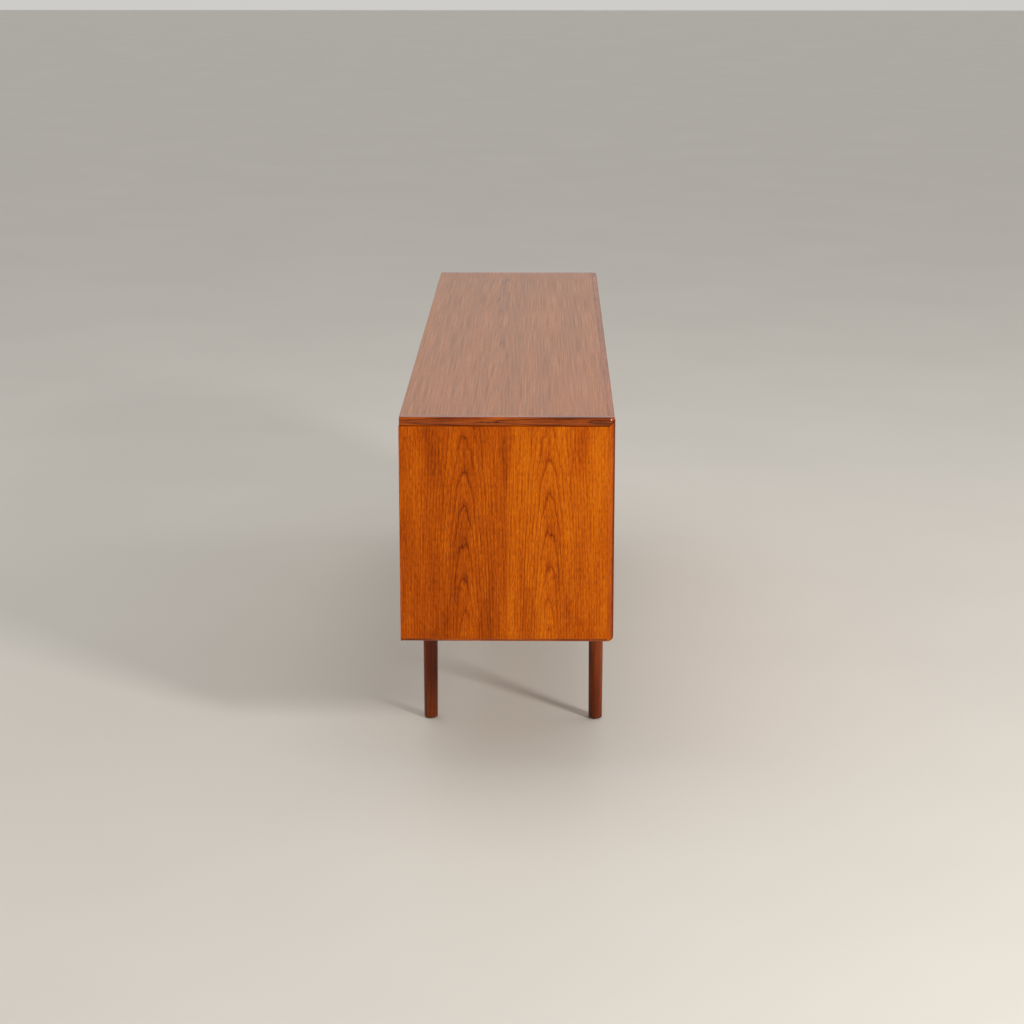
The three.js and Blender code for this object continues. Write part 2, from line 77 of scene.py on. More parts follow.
class Graph:
    """A node tree, built up from short calls that return output sockets."""

    def __init__(self, tree):
        self.tree = tree

    def plug(self, socket, value):
        if isinstance(value, bpy.types.NodeSocket):
            self.tree.links.new(value, socket)
        else:
            socket.default_value = value

    def coordinates(self, kind="Object"):
        node = self.tree.nodes.new("ShaderNodeTexCoord")
        split = self.tree.nodes.new("ShaderNodeSeparateXYZ")
        self.plug(split.inputs[0], node.outputs[kind])
        return list(split.outputs)

    def math(self, operation, a, b=0.0, c=0.0):
        node = self.tree.nodes.new("ShaderNodeMath")
        node.operation = operation
        for socket, value in zip(node.inputs, (a, b, c)):
            self.plug(socket, value)
        return node.outputs[0]

    def vector(self, x, y, z):
        node = self.tree.nodes.new("ShaderNodeCombineXYZ")
        for socket, value in zip(node.inputs, (x, y, z)):
            self.plug(socket, value)
        return node.outputs[0]

    def swing(self, level, amount, base):
        """The base, plus a noise's rise or fall about its middle."""
        return self.math("MULTIPLY_ADD", self.math("SUBTRACT", level, 0.5), amount, base)

    def noise(self, place, detail=2.0, roughness=0.5):
        node = self.tree.nodes.new("ShaderNodeTexNoise")
        self.plug(node.inputs["Vector"], place)
        node.inputs["Scale"].default_value = 1.0
        node.inputs["Detail"].default_value = detail
        node.inputs["Roughness"].default_value = roughness
        return node.outputs["Fac"]

    def grain(self, per_metre, detail=2.0, roughness=0.5):
        """A noise that is alike in all directions, with so many marks in a metre."""
        scaled = [self.math("MULTIPLY", c, per_metre) for c in self.coordinates()]
        return self.noise(self.vector(*scaled), detail, roughness)

    def ramp(self, value, stops):
        """Colours or grey levels at given places, with straight lines between them."""
        node = self.tree.nodes.new("ShaderNodeValToRGB")
        self.plug(node.inputs[0], value)
        marks = node.color_ramp.elements
        while len(marks) < len(stops):
            marks.new(0.5)
        for mark, (place, colour) in zip(marks, stops):
            mark.position = place
            grey = isinstance(colour, (int, float))
            mark.color = (colour,) * 3 + (1,) if grey else (*colour, 1)
        return node.outputs[0]

    def mix(self, share, a, b, blend="MIX"):
        node = self.tree.nodes.new("ShaderNodeMix")
        node.data_type = "RGBA"
        node.blend_type = blend
        self.plug(node.inputs[0], share)
        self.plug(node.inputs[6], a if isinstance(a, bpy.types.NodeSocket) else (*a, 1))
        self.plug(node.inputs[7], b if isinstance(b, bpy.types.NodeSocket) else (*b, 1))
        return node.outputs[2]


class Surface(Graph):
    """A material, made of one shader and the nodes that feed it."""

    def __init__(self, name):
        self.material = bpy.data.materials.new(name)
        self.material.use_nodes = True
        super().__init__(self.material.node_tree)
        self.tree.nodes.clear()
        self.shader = self.tree.nodes.new("ShaderNodeBsdfPrincipled")
        output = self.tree.nodes.new("ShaderNodeOutputMaterial")
        self.tree.links.new(self.shader.outputs["BSDF"], output.inputs["Surface"])

    def bump(self, height, strength, distance):
        node = self.tree.nodes.new("ShaderNodeBump")
        node.inputs["Strength"].default_value = strength
        node.inputs["Distance"].default_value = distance
        self.plug(node.inputs["Height"], height)
        self.plug(self.shader.inputs["Normal"], node.outputs[0])

    def finish(self, colour, roughness, **fixed):
        self.plug(self.shader.inputs["Base Color"], colour)
        self.plug(self.shader.inputs["Roughness"], roughness)
        for name, value in fixed.items():
            self.shader.inputs[name.replace("_", " ")].default_value = value
        return self.material


def srgb(text):
    """A colour written as six hex digits, as the linear values that shaders take."""
    levels = [int(text[i : i + 2], 16) / 255 for i in (0, 2, 4)]
    return tuple(v / 12.92 if v <= 0.04045 else ((v + 0.055) / 1.055) ** 2.4 for v in levels)


# Ramps of the wood's figure, as (place, level) pairs.
LATE_WOOD = [(0.0, 1.0), (0.07, 0.42), (0.3, 0.1), (0.82, 0.0), (0.95, 0.2), (1.0, 1.0)]
YEARS = [(0.3, 0.55), (0.6, 1.0)]  # some years' rings are stronger than others
FADING = [(0.25, 1.0), (1.0, 0.3)]  # rings grow faint away from the arches
PORES = [(0.56, 0.0), (0.68, 1.0)]
# Painted shade on a rounded edge: darkest at the edge, fading within its reach.
LIMB_SHADE = [(0.3, 1.3), (0.6, 0.25), (1.0, 0.0)]
BASE_TONE = 0.36  # how far from the light to the deep tone plain wood lies

FIGURE = dict(
    centre=0.0,  # metres, across: the board's middle, or the seam of a book match
    axis=0.0,  # metres from centre to the middle of the arches
    book=False,
    leaf_shift=0.0,  # metres along, between the two leaves of a book match
    face=0.0,  # metres: where the face lies on the third axis
    pith=0.03,  # metres from face to pith where along is 0
    lean=0.08,  # metres the pith moves away for each metre along
    spacing=0.006,  # metres between rings
    waver=0.004,  # metres that the pith wanders
    rings=0.55,  # how dark the late wood is
    fibres=0.5,
    pores=0.5,
    clouds=0.35,
    cloud_size=(22.0, 2.6),  # clouds in a metre, across and along
    fibre_size=(520.0, 11.0),
    flecks=0.0,  # short light and dark dashes
    fade=0.0,  # metres from the arches over which the rings grow faint, or 0
    leaf_dark=0.0,  # how much darker the first leaf of a book match is: painted shade for the leaves' different sheen
    burnish=None,  # metres: an edge's place, across, and how far in from it painted shade darkens the edge's rounding
    rough=0.4,
    shine=0.5,
    relief=0.12,
    seed=0.0,
)


def wood(name, tones, along, across, **figure):
    """Wood cut from a log: growth rings, fibres, pores and slow changes of tone.

    along and across are the axes of the grain and of the board's width. The rings are circles
    about a pith that leans away from the board, so a flat-sawn face shows nested arches.
    book mirrors the figure about centre, as two leaves of veneer laid side by side.
    """
    f = {**FIGURE, **figure}
    g = Surface(name)
    place = g.coordinates()
    v, u, w = place[along], place[across], place[X + Y + Z - along - across]
    v = g.math("ADD", v, f["seed"])
    u = g.math("SUBTRACT", u, f["centre"])
    w = g.math("SUBTRACT", w, f["face"])
    tone = BASE_TONE
    if f["book"]:
        # The first leaf is made darker: painted shade for the two mirrored leaves' different sheen.
        second = g.math("LESS_THAN", u, 0.0)
        tone = g.math("MULTIPLY_ADD", second, -f["leaf_dark"], tone + f["leaf_dark"] / 2)
        v = g.math("MULTIPLY_ADD", second, -f["leaf_shift"], v)
        u = g.math("ABSOLUTE", u)

    def drawn_out(per_u, per_v, per_w=None, extra=0.0):
        """A point for a noise that is longer along the grain than across it."""
        depth = g.math("MULTIPLY_ADD", w, per_u if per_w is None else per_w, extra)
        return g.vector(g.math("MULTIPLY", u, per_u), g.math("MULTIPLY", v, per_v), depth)

    # Rings, as the distance to a wavering pith.
    slow = g.noise(drawn_out(9.0, 3.5, 0.0, f["seed"]), 2.0)
    fast = g.noise(drawn_out(60.0, 14.0, 0.0, f["seed"]), 2.0)
    off = g.swing(slow, 2 * f["waver"], -f["axis"])
    across_pith = g.math("ADD", u, off)
    depth = g.math("ADD", g.math("MULTIPLY_ADD", v, f["lean"], f["pith"]), w)
    squares = g.math("MULTIPLY", across_pith, across_pith)
    radius = g.math("SQRT", g.math("MULTIPLY_ADD", depth, depth, squares))
    count = g.math("DIVIDE", radius, f["spacing"])
    count = g.math("ADD", count, g.math("MULTIPLY", fast, 0.9))
    late = g.ramp(g.math("FRACT", count), LATE_WOOD)
    year = g.math("MULTIPLY", g.math("FLOOR", count), 3.71)
    strength = g.ramp(g.noise(g.vector(year, f["seed"], 0.5), 0.0), YEARS)
    late = g.math("MULTIPLY", late, strength)
    if f["fade"]:
        away = g.math("DIVIDE", g.math("ABSOLUTE", across_pith), f["fade"])
        shown = g.ramp(away, FADING)
        patchy = g.noise(drawn_out(30.0, 3.0, 0.0, f["seed"] + 7.0), 2.0)
        shown = g.math("MULTIPLY", shown, g.math("MULTIPLY_ADD", patchy, 1.2, 0.4))
        late = g.math("MULTIPLY", late, shown)

    # Fibres and pores, drawn out along the grain, and slow clouds of tone.
    fibre = g.noise(drawn_out(*f["fibre_size"]), 4.0, 0.62)
    pore = g.ramp(g.noise(drawn_out(1500.0, 75.0), 1.0), PORES)
    cloud_u, cloud_v = f["cloud_size"]
    cloud = g.noise(drawn_out(cloud_u, cloud_v, cloud_u, f["seed"] + 3.0), 3.0, 0.55)
    dark = g.math("MULTIPLY_ADD", late, f["rings"] * 0.5, tone)
    dark = g.swing(fibre, f["fibres"] * 1.6, dark)
    dark = g.swing(cloud, f["clouds"] * 1.8, dark)
    height = g.math("SUBTRACT", g.math("MULTIPLY", fibre, 0.5), g.math("MULTIPLY", pore, 0.5))
    if f["flecks"]:
        fleck = g.noise(drawn_out(430.0, 70.0), 3.0, 0.7)
        dark = g.swing(fleck, f["flecks"] * 1.6, dark)
        height = g.math("MULTIPLY_ADD", fleck, -0.6, height)
    # Painted shade on an edge's rounding, where it turns away from the light.
    if f["burnish"]:
        edge, reach = f["burnish"]
        near = g.math("DIVIDE", g.math("SUBTRACT", place[across], edge), reach)
        dark = g.math("ADD", dark, g.ramp(near, LIMB_SHADE))
    light, middle, deep = (srgb(t) for t in tones)
    colour = g.ramp(dark, [(0.05, light), (0.42, middle), (0.95, deep)])
    worn = g.math("MULTIPLY", pore, f["pores"] * 0.55)
    colour = g.mix(worn, colour, tuple(c * 0.35 for c in deep))
    rough = g.swing(fibre, 0.25, f["rough"])
    g.bump(height, f["relief"], 0.0006)
    return g.finish(colour, rough, Specular_IOR_Level=f["shine"])


END_TONES = ("d67008", "b64f02", "702700")
TOP_TONES = ("bb6c24", "9c5618", "5a2b08")
FRONT_TONES = ("d4700f", "b85607", "7b3002")
SOLID_TONES = ("ab5a1a", "8b410c", "4a1e04")
EDGE_TONES = ("d56e0b", "b65004", "6c2701")
BAND_TONES = ("b35307", "8a3a03", "341000")
DARK_TONES = ("8c4113", "6e2c09", "341102")
INSIDE_TONES = ("c8965c", "b37f4c", "8d5c2c")
PLY_TONES = ("bd9363", "a87d4e", "835b33")
BEECH_TONES = ("d9ba8c", "cba878", "ad8658")


def metal(name, colour, rough, scratches):
    """Plain metal with faint cloudy tarnish and fine random marks."""
    g = Surface(name)
    cloud = g.grain(90.0, 3.0)
    fine = g.grain(1400.0)
    base = srgb(colour)
    tint = g.mix(cloud, tuple(c * 0.72 for c in base), base)
    rough_here = g.math("MULTIPLY_ADD", cloud, 0.22, rough)
    g.bump(fine, scratches, 0.0002)
    return g.finish(tint, rough_here, Metallic=1.0)


def felt_material():
    """Short-napped felt: a speckled colour with sheen and a soft, even relief."""
    g = Surface("green_felt")
    nap = g.grain(1800.0, 3.0, 0.7)
    patch = g.grain(30.0)
    tint = g.mix(nap, srgb("1f3a26"), srgb("3d5f44"))
    tint = g.mix(g.math("MULTIPLY", patch, 0.35), tint, srgb("2b4a31"))
    g.bump(nap, 0.5, 0.0006)
    return g.finish(tint, 0.95, Sheen_Weight=0.15, Sheen_Roughness=0.5, Specular_IOR_Level=0.2)


def plastic_material():
    """Moulded nylon, with a faint even grain."""
    g = Surface("ivory_plastic")
    grain = g.grain(900.0)
    tint = g.mix(grain, srgb("cfc7b2"), srgb("e2dbca"))
    g.bump(grain, 0.15, 0.0002)
    return g.finish(tint, 0.45)


brass = metal("brass", "c29a4b", 0.22, 0.05)
steel = metal("steel", "b4b4b1", 0.26, 0.05)
felt = felt_material()
plastic = plastic_material()

STRAIGHT = dict(
    pith=0.06, lean=0.004, spacing=0.0022, rings=0.7, clouds=0.5, rough=0.32, shine=0.35
)
solid_x = wood("solid_teak_along_x", SOLID_TONES, X, Z, centre=0.78, seed=1.3, **STRAIGHT)
solid_z = wood("solid_teak_along_z", SOLID_TONES, Z, X, centre=1.05, seed=2.6, **STRAIGHT)
dark_x = wood("dark_teak_along_x", DARK_TONES, X, Z, centre=0.30, seed=5.2, **STRAIGHT)
dark_y = wood("dark_teak_along_y", DARK_TONES, Y, Z, centre=0.31, seed=6.1, **STRAIGHT)
LEG_FIGURE = dict(spacing=0.0034, rings=0.6, fibres=0.8, clouds=0.6, rough=0.26, shine=0.2)
dark_z = wood("dark_teak_along_z", DARK_TONES, Z, X, pith=0.05, lean=0.01, seed=7.7, **LEG_FIGURE)
INNER = dict(spacing=0.005, rings=0.35, fibres=0.45, pores=0.45, clouds=0.3, rough=0.55, shine=0.35)
inside_x = wood("inside_veneer_along_x", INSIDE_TONES, X, Y, axis=0.05, pith=0.05, seed=8.3, **INNER)
inside_z = wood("inside_veneer_along_z", INSIDE_TONES, Z, Y, axis=0.04, pith=0.05, seed=9.6, **INNER)
inside_y = wood("inside_veneer_along_y", INSIDE_TONES, Y, Z, centre=0.4, pith=0.09, seed=3.9, **INNER)
PLY = dict(spacing=0.009, lean=0.02, rings=0.4, fibres=0.7, pores=0.7, clouds=0.5, rough=0.7, shine=0.2)
plywood = wood("plywood", PLY_TONES, X, Z, centre=0.52, axis=0.04, seed=2.2, **PLY)
drawer_ply = wood("drawer_plywood", PLY_TONES, Y, X, centre=0.1, axis=0.05, seed=5.5, **PLY)
beech = wood("beech", BEECH_TONES, Y, Z, spacing=0.003, rings=0.25, fibres=0.35, pores=0.15, seed=1.9)

# ---- shape helpers ----


def prism(axis, outline, start, end):
    """A closed outline pushed along an axis. Its (u, v) lie on the other two, in X, Y, Z order."""
    u_axis, v_axis = [a for a in (X, Y, Z) if a != axis]
    bm = bmesh.new()
    rings = []
    for w in (start, end):
        ring = []
        for u, v in outline:
            place = [0.0, 0.0, 0.0]
            place[u_axis], place[v_axis], place[axis] = u, v, w
            ring.append(bm.verts.new(place))
        rings.append(ring)
    low, high = rings
    bm.faces.new(low)
    bm.faces.new(list(reversed(high)))
    for i in range(len(low)):
        j = (i + 1) % len(low)
        bm.faces.new((low[i], high[i], high[j], low[j]))
    bmesh.ops.recalc_face_normals(bm, faces=bm.faces)
    return bm


def block(lo, hi):
    return prism(Z, [(lo[X], lo[Y]), (hi[X], lo[Y]), (hi[X], hi[Y]), (lo[X], hi[Y])], lo[Z], hi[Z])


def soften(bm, radius, segments=2, least=30.0, only=None):
    """Rounds the edges that turn by more than least degrees."""
    edges = []
    for e in bm.edges:
        if len(e.link_faces) != 2 or e.calc_face_angle() < math.radians(least):
            continue
        if only is None or only(e):
            edges.append(e)
    bmesh.ops.bevel(
        bm,
        geom=edges,
        offset=radius,
        segments=segments,
        profile=0.5,
        affect="EDGES",
        clamp_overlap=True,
    )
    return bm


def board(lo, hi, radius=0.0008, segments=2):
    return soften(block(lo, hi), radius, segments)


def stretch(lo, hi, axis, start, end, radius=VENEER_ARRIS, segments=2):
    """A board that fills a box from start to end on one axis."""
    lo, hi = Vector(lo), Vector(hi)
    lo[axis], hi[axis] = start, end
    return board(lo, hi, radius, segments)


def arc(cu, cv, radius, start, end, steps):
    """Points on an arc about (cu, cv), in degrees."""
    angles = [math.radians(start + (end - start) * i / steps) for i in range(steps + 1)]
    return [(cu + radius * math.cos(a), cv + radius * math.sin(a)) for a in angles]


def lathe(profile, segments=48):
    """(radius, height) pairs turned about Z. A pair on the axis closes that end."""
    bm = bmesh.new()
    rings = []
    for r, h in profile:
        if r < 1e-7:
            rings.append([bm.verts.new((0, 0, h))])
            continue
        turns = [2 * math.pi * i / segments for i in range(segments)]
        rings.append([bm.verts.new((r * math.cos(t), r * math.sin(t), h)) for t in turns])
    for a, b in zip(rings, rings[1:]):
        for i in range(segments):
            j = (i + 1) % segments
            corners = [a[i % len(a)], a[j % len(a)], b[j % len(b)], b[i % len(b)]]
            unique = list(dict.fromkeys(corners))
            if len(unique) > 2:
                bm.faces.new(unique)
    for ring in (rings[0], rings[-1]):
        if len(ring) > 1:
            bm.faces.new(ring)
    bmesh.ops.recalc_face_normals(bm, faces=bm.faces)
    return bm


TURN = {
    X: Matrix.Rotation(math.radians(90), 4, "Y"),
    Y: Matrix.Rotation(math.radians(-90), 4, "X"),
    Z: Matrix.Identity(4),
}


def turned(profile, axis, place, segments=48):
    """A lathe shape whose own height runs along an axis from a place."""
    bm = lathe(profile, segments)
    bm.transform(Matrix.Translation(place) @ TURN[axis])
    return bm


def rod(axis, radius, start, length, segments=32):
    return turned([(0, 0), (radius, 0), (radius, length), (0, length)], axis, start, segments)


def loft(rings):
    """Closed skin through rings of points, each ring with as many points as the last."""
    bm = bmesh.new()
    made = [[bm.verts.new(p) for p in ring] for ring in rings]
    for low, high in zip(made, made[1:]):
        for i in range(len(low)):
            j = (i + 1) % len(low)
            bm.faces.new((low[i], low[j], high[j], high[i]))
    bm.faces.new(list(reversed(made[0])))
    bm.faces.new(made[-1])
    bmesh.ops.recalc_face_normals(bm, faces=bm.faces)
    return bm


def merged(parts):
    """Several closed meshes in one, side by side and not joined to each other."""
    whole = bmesh.new()
    for bm in parts:
        mesh = bpy.data.meshes.new("part")
        bm.to_mesh(mesh)
        bm.free()
        whole.from_mesh(mesh)
        bpy.data.meshes.remove(mesh)
    return whole


def quarter(radius, steps=6):
    """(depth, inset) pairs down a rounded edge, from the face to the full outline."""
    turns = [math.radians(90 * i / steps) for i in range(steps + 1)]
    return [(radius * (1 - math.cos(t)), radius * (1 - math.sin(t))) for t in turns]


def rounded(half_u, half_v, radius, steps=5):
    """Outline of a rectangle about (0, 0) with round corners."""
    u, v = half_u - radius, half_v - radius
    corners = ((u, v, 0), (-u, v, 90), (-u, -v, 180), (u, -v, 270))
    return [p for cu, cv, start in corners for p in arc(cu, cv, radius, start, start + 90, steps)]


def combined(operation, first, *others):
    """first cut by, joined to or kept inside the others, exactly."""
    for other in others:
        meshes = []
        for bm in (first, other):
            mesh = bpy.data.meshes.new("boolean")
            bm.to_mesh(mesh)
            bm.free()
            meshes.append(mesh)
        shown = [bpy.data.objects.new("boolean", mesh) for mesh in meshes]
        for o in shown:
            bpy.context.scene.collection.objects.link(o)
        change = shown[0].modifiers.new("boolean", "BOOLEAN")
        change.operation = operation
        change.object = shown[1]
        change.solver = "EXACT"
        graph = bpy.context.evaluated_depsgraph_get()
        result = shown[0].evaluated_get(graph).to_mesh()
        first = bmesh.new()
        first.from_mesh(result)
        shown[0].evaluated_get(graph).to_mesh_clear()
        for o, mesh in zip(shown, meshes):
            bpy.data.objects.remove(o)
            bpy.data.meshes.remove(mesh)
        bmesh.ops.remove_doubles(first, verts=first.verts, dist=1e-6)
        bmesh.ops.dissolve_degenerate(first, edges=first.edges, dist=1e-6)
    return first


def cut(first, *others):
    return combined("DIFFERENCE", first, *others)


def joined(first, *others):
    return combined("UNION", first, *others)


def common(first, *others):
    return combined("INTERSECT", first, *others)


def piece(name, bm, body, slot, material, *nodes, crease=32.0):
    """Makes the mesh an object of the model, riding on a body and standing for CAD nodes."""
    mesh = bpy.data.meshes.new(name)
    bm.to_mesh(mesh)
    bm.free()
    mesh.materials.append(material)
    mesh.shade_smooth()
    mesh.set_sharp_from_angle(angle=math.radians(crease))
    obj = bpy.data.objects.new(name, mesh)
    bpy.context.scene.collection.objects.link(obj)
    weighted = obj.modifiers.new("flat_faces_stay_flat", "WEIGHTED_NORMAL")
    weighted.keep_sharp = True
    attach(obj, body)
    if nodes:
        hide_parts(*nodes)
    return obj


def box_of(node):
    lo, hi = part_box(node)
    return Vector(lo), Vector(hi)


def screw_head(radius):
    """A slotted round head that stands on z = 0."""
    tall = radius * 0.55
    dome = [(0, 0), (radius, 0), (radius, tall * 0.3), (radius * 0.85, tall * 0.75)]
    head = lathe(dome + [(radius * 0.45, tall * 0.97), (0, tall)], 24)
    half_slot = radius * 0.15
    return cut(head, block((-radius, -half_slot, tall * 0.5), (radius, half_slot, tall * 2)))


HEADS = {size: screw_head(size * MM) for size in (2.2, 3.2, 4.0)}  # by radius, in millimetres


def screws(name, body, places, size=3.2):
    """Steel screw heads at (axis, direction, place), each looking along its axis."""
    made = []
    for axis, direction, place in places:
        head = HEADS[size].copy()
        if direction < 0:
            head.transform(Matrix.Rotation(math.pi, 4, "X"))
        head.transform(Matrix.Translation(place) @ TURN[axis])
        made.append(head)
    return piece(name, merged(made), body, "steel", steel)


def long_axis(lo, hi):
    return max((X, Y, Z), key=lambda a: hi[a] - lo[a])


def pin_room(node, play=0.2 * MM, spare=0.6 * MM):
    """The bore that a hinge pin needs."""
    lo, hi = box_of(node)
    axis = long_axis(lo, hi)
    start = (lo + hi) / 2
    radius = (hi - lo)[(axis + 1) % 3] / 2 + play
    start[axis] = lo[axis] - spare
    return rod(axis, radius, start, hi[axis] - lo[axis] + 2 * spare)


# ---- the carcass ----

top_lo, top_hi = box_of("top_panel")
front_lo, front_hi = box_of("top_front_lipping")
right_lo, right_hi = box_of("right_end_panel")
bottom_lo, bottom_hi = box_of("bottom_panel")
HEIGHT = top_hi.z
HALF_WIDTH = right_hi.x
END = right_hi.x - right_lo.x  # thickness of an end panel
TOP_UNDER = right_hi.z
FRONT_Y = front_lo.y  # foremost edge of the carcass
BACK_Y = right_hi.y
FACE_Y = front_hi.y  # outer face of the doors, flap and drawer fronts
FOOT_Z = right_lo.z  # underside of the end panels
GAP = 0.3 * MM
HAIRLINE = 0.12 * MM  # a glued joint that still shows as a line
CORNER = 13 * MM
EASING = 6 * MM  # rounding of the end panels' edges
BULGE = 3 * MM
SHADED_BOTTOM_HEIGHT = 6.5 * MM  # height of a strip of the dark band teak under an end panel's veneer: painted shade on the rounded bottom edge
DOOR_PINS = [f"door_{word}_{end}_pin" for word in ("left", "right") for end in ("top", "bottom")]


def bulged(tip, inner, low, high, steps=14):
    """Outline of an edge strip: a shallow bulge between two slightly eased arrises."""
    half = (high - low) / 2
    radius = (half * half + BULGE * BULGE) / (2 * BULGE)
    turn = math.degrees(math.asin(half / radius))
    sign = 1 if inner > tip else -1
    curve = arc(tip + sign * radius, low + half, radius, 180 - turn, 180 + turn, steps)
    if sign < 0:
        curve = [(2 * (tip - radius) - u, v) for u, v in curve]
    return [(inner, low), (inner, high), *curve]


# What the veneers of the doors, the drawers and the flap have in common.
FRONT_FIGURE = dict(
    face=FACE_Y, rings=0.9, fibres=0.55, pores=0.6, clouds=0.5, flecks=0.25, rough=0.38,
    shine=0.25, relief=0.1,
)

# The top: a wide veneered board between its strips.
top_veneer = wood(
    "top_veneer", TOP_TONES, X, Y, axis=0.03, face=HEIGHT, pith=0.03, lean=0.022, spacing=0.006,
    waver=0.007, rings=0.7, fibres=0.85, pores=1.0, clouds=0.3, cloud_size=(20.0, 0.7),
    fibre_size=(430.0, 3.2), flecks=0.8, fade=0.2, rough=0.34, shine=0.36, relief=0.1, seed=0.6,
)
band_y = wood(
    "band_teak_along_y", BAND_TONES, Y, Z, centre=0.79, pith=0.07, lean=0.012, spacing=0.0026,
    rings=1.3, fibres=1.2, clouds=1.0, rough=0.16, shine=0.3, seed=4.1,
)
piece(
    "top_board",
    cut(board(top_lo, top_hi, 0.4 * MM), *(pin_room(n) for n in DOOR_PINS if "top" in n)),
    "carcass", "top_veneer", top_veneer, "top_panel",
)
piece(
    "top_front_strip",
    prism(X, bulged(front_lo.y, front_hi.y, front_lo.z, front_hi.z), front_lo.x, front_hi.x),
    "carcass", "solid_teak", solid_x, "top_front_lipping",
)


def top_end_strip(side, node):
    """The top's end strip: bulged, carried round the front corner, mitred underneath."""
    lo, hi = box_of(node)
    layers = []
    for u, z in bulged(0.0, 1.0, lo.z, hi.z)[2:]:
        corner = arc(HALF_WIDTH - CORNER, FRONT_Y + CORNER, CORNER - u, 0, -90, 16)
        inner = HALF_WIDTH - END
        outline = [(inner, hi.y), (HALF_WIDTH - u, hi.y), *corner, (inner, FRONT_Y + u)]
        layers.append([(side * x, y, z) for x, y in outline])
    rise = FACE_Y - FRONT_Y + MM
    slope = [
        (FRONT_Y - MM, lo.z + rise),
        (FACE_Y, lo.z + GAP),
        (FACE_Y + GAP, lo.z - MM),
        (FAR, lo.z - MM),
        (FAR, FAR),
        (FRONT_Y - MM, FAR),
    ]
    return common(loft(layers), prism(X, slope, -FAR, FAR))


def end_outline(inset):
    """An end panel seen from its end, pulled in at the front and the bottom."""
    corner = arc(FRONT_Y + CORNER, FOOT_Z + CORNER, CORNER - inset, 270, 180, 14)
    low = [(BACK_Y, HEIGHT), (BACK_Y, FOOT_Z + inset)]
    return low + corner + [(FRONT_Y + inset, HEIGHT)]


def end_body(side):
    """An end panel and its front strip in one, with rounded front and bottom edges."""
    down = quarter(EASING)
    layers = [(HALF_WIDTH - END + depth, inset) for depth, inset in down]
    layers += [(HALF_WIDTH - depth, inset) for depth, inset in reversed(down)]
    return loft([[(side * x, y, z) for y, z in end_outline(inset)] for x, inset in layers])


def end_pieces(word, side):
    strip_profile = [
        (FACE_Y, 0.0),
        (FACE_Y, TOP_UNDER - MM),
        (FRONT_Y - MM, TOP_UNDER + FACE_Y - FRONT_Y),
        (FRONT_Y - MM, 0.0),
    ]
    strip = common(end_body(side), prism(X, strip_profile, -FAR, FAR))
    # Below this height the panel is a separate dark strip: painted shade on the rounded bottom edge.
    split_z = FOOT_Z + SHADED_BOTTOM_HEIGHT
    room = block((-FAR, FACE_Y + HAIRLINE, split_z + HAIRLINE), (FAR, FAR, TOP_UNDER))
    panel = common(end_body(side), room)
    low = common(end_body(side), block((-FAR, FACE_Y + HAIRLINE, 0.0), (FAR, FAR, split_z)))
    if side > 0:
        panel = cut(panel, pin_room("flap_right_pin"))

    def back_arris(e):
        return all(vert.co.y > BACK_Y - 0.1 * MM for vert in e.verts)

    soften(panel, 1.2 * MM, 3, only=back_arris)
    lo, hi = box_of(f"{word}_end_panel")
    # Its first leaf's darker tone is painted shade.
    veneer = wood(
        f"{word}_end_veneer", END_TONES, Z, Y, axis=0.091, seed=0.02 * side, book=True,
        leaf_shift=0.027, face=lo.x if side < 0 else hi.x, pith=-0.012, lean=0.078,
        spacing=0.0059, rings=1.2, fibres=0.75, pores=0.8, clouds=0.5, flecks=0.65,
        fade=0.13, leaf_dark=0.17, shine=0.08, relief=0.14,
    )
    piece(f"{word}_end_board", panel, "carcass", "end_veneer", veneer, f"{word}_end_panel")
    piece(f"{word}_end_strip", strip, "carcass", "solid_teak", end_solid, f"{word}_end_lipping")
    # Dark strip along the bottom: painted shade.
    piece(f"{word}_end_bottom_painted_shade", low, "carcass", "solid_teak", band_y)


# Its foremost 7 mm are darkened: painted shade on the rounded front edge.
end_solid = wood(
    "end_teak_along_z", EDGE_TONES, Z, Y, centre=1.05, pith=0.06, lean=0.004, spacing=0.0024,
    rings=0.6, fibres=0.75, flecks=0.5, clouds=0.4, rough=0.3, shine=0.15, seed=2.6,
    burnish=(FRONT_Y, 7 * MM),
)
for word, side in (("left", -1), ("right", 1)):
    node = f"top_{word}_lipping"
    piece(f"top_{word}_strip", top_end_strip(side, node), "carcass", "solid_teak", band_y, node)
    end_pieces(word, side)

bottom_bores = [pin_room(n) for n in DOOR_PINS if "bottom" in n]
piece(
    "bottom_board", cut(board(bottom_lo, bottom_hi, 0.4 * MM), *bottom_bores),
    "carcass", "inside_veneer", inside_x, "bottom_panel",
)
lo, hi = box_of("bottom_front_lipping")
piece(
    "bottom_front_strip", prism(X, bulged(lo.y, hi.y, lo.z, hi.z), lo.x, hi.x),
    "carcass", "solid_teak", solid_x, "bottom_front_lipping",
)

# The dividers: veneered boards with a solid strip on the front edge.
DIVIDER_STRIP = 10 * MM
for word in ("left", "right"):
    lo, hi = box_of(f"{word}_divider")
    split = lo.y + DIVIDER_STRIP
    panel = stretch(lo, hi, Y, split + HAIRLINE, hi.y)
    strip = stretch(lo, hi, Y, lo.y, split, 1.0 * MM, 3)
    if word == "right":
        panel = cut(panel, pin_room("flap_left_pin"))
        strip = cut(strip, pin_room("flap_left_pin"))
    piece(f"{word}_divider_board", panel, "carcass", "inside_veneer", inside_z, f"{word}_divider")
    piece(f"{word}_divider_strip", strip, "carcass", "solid_teak", solid_z)

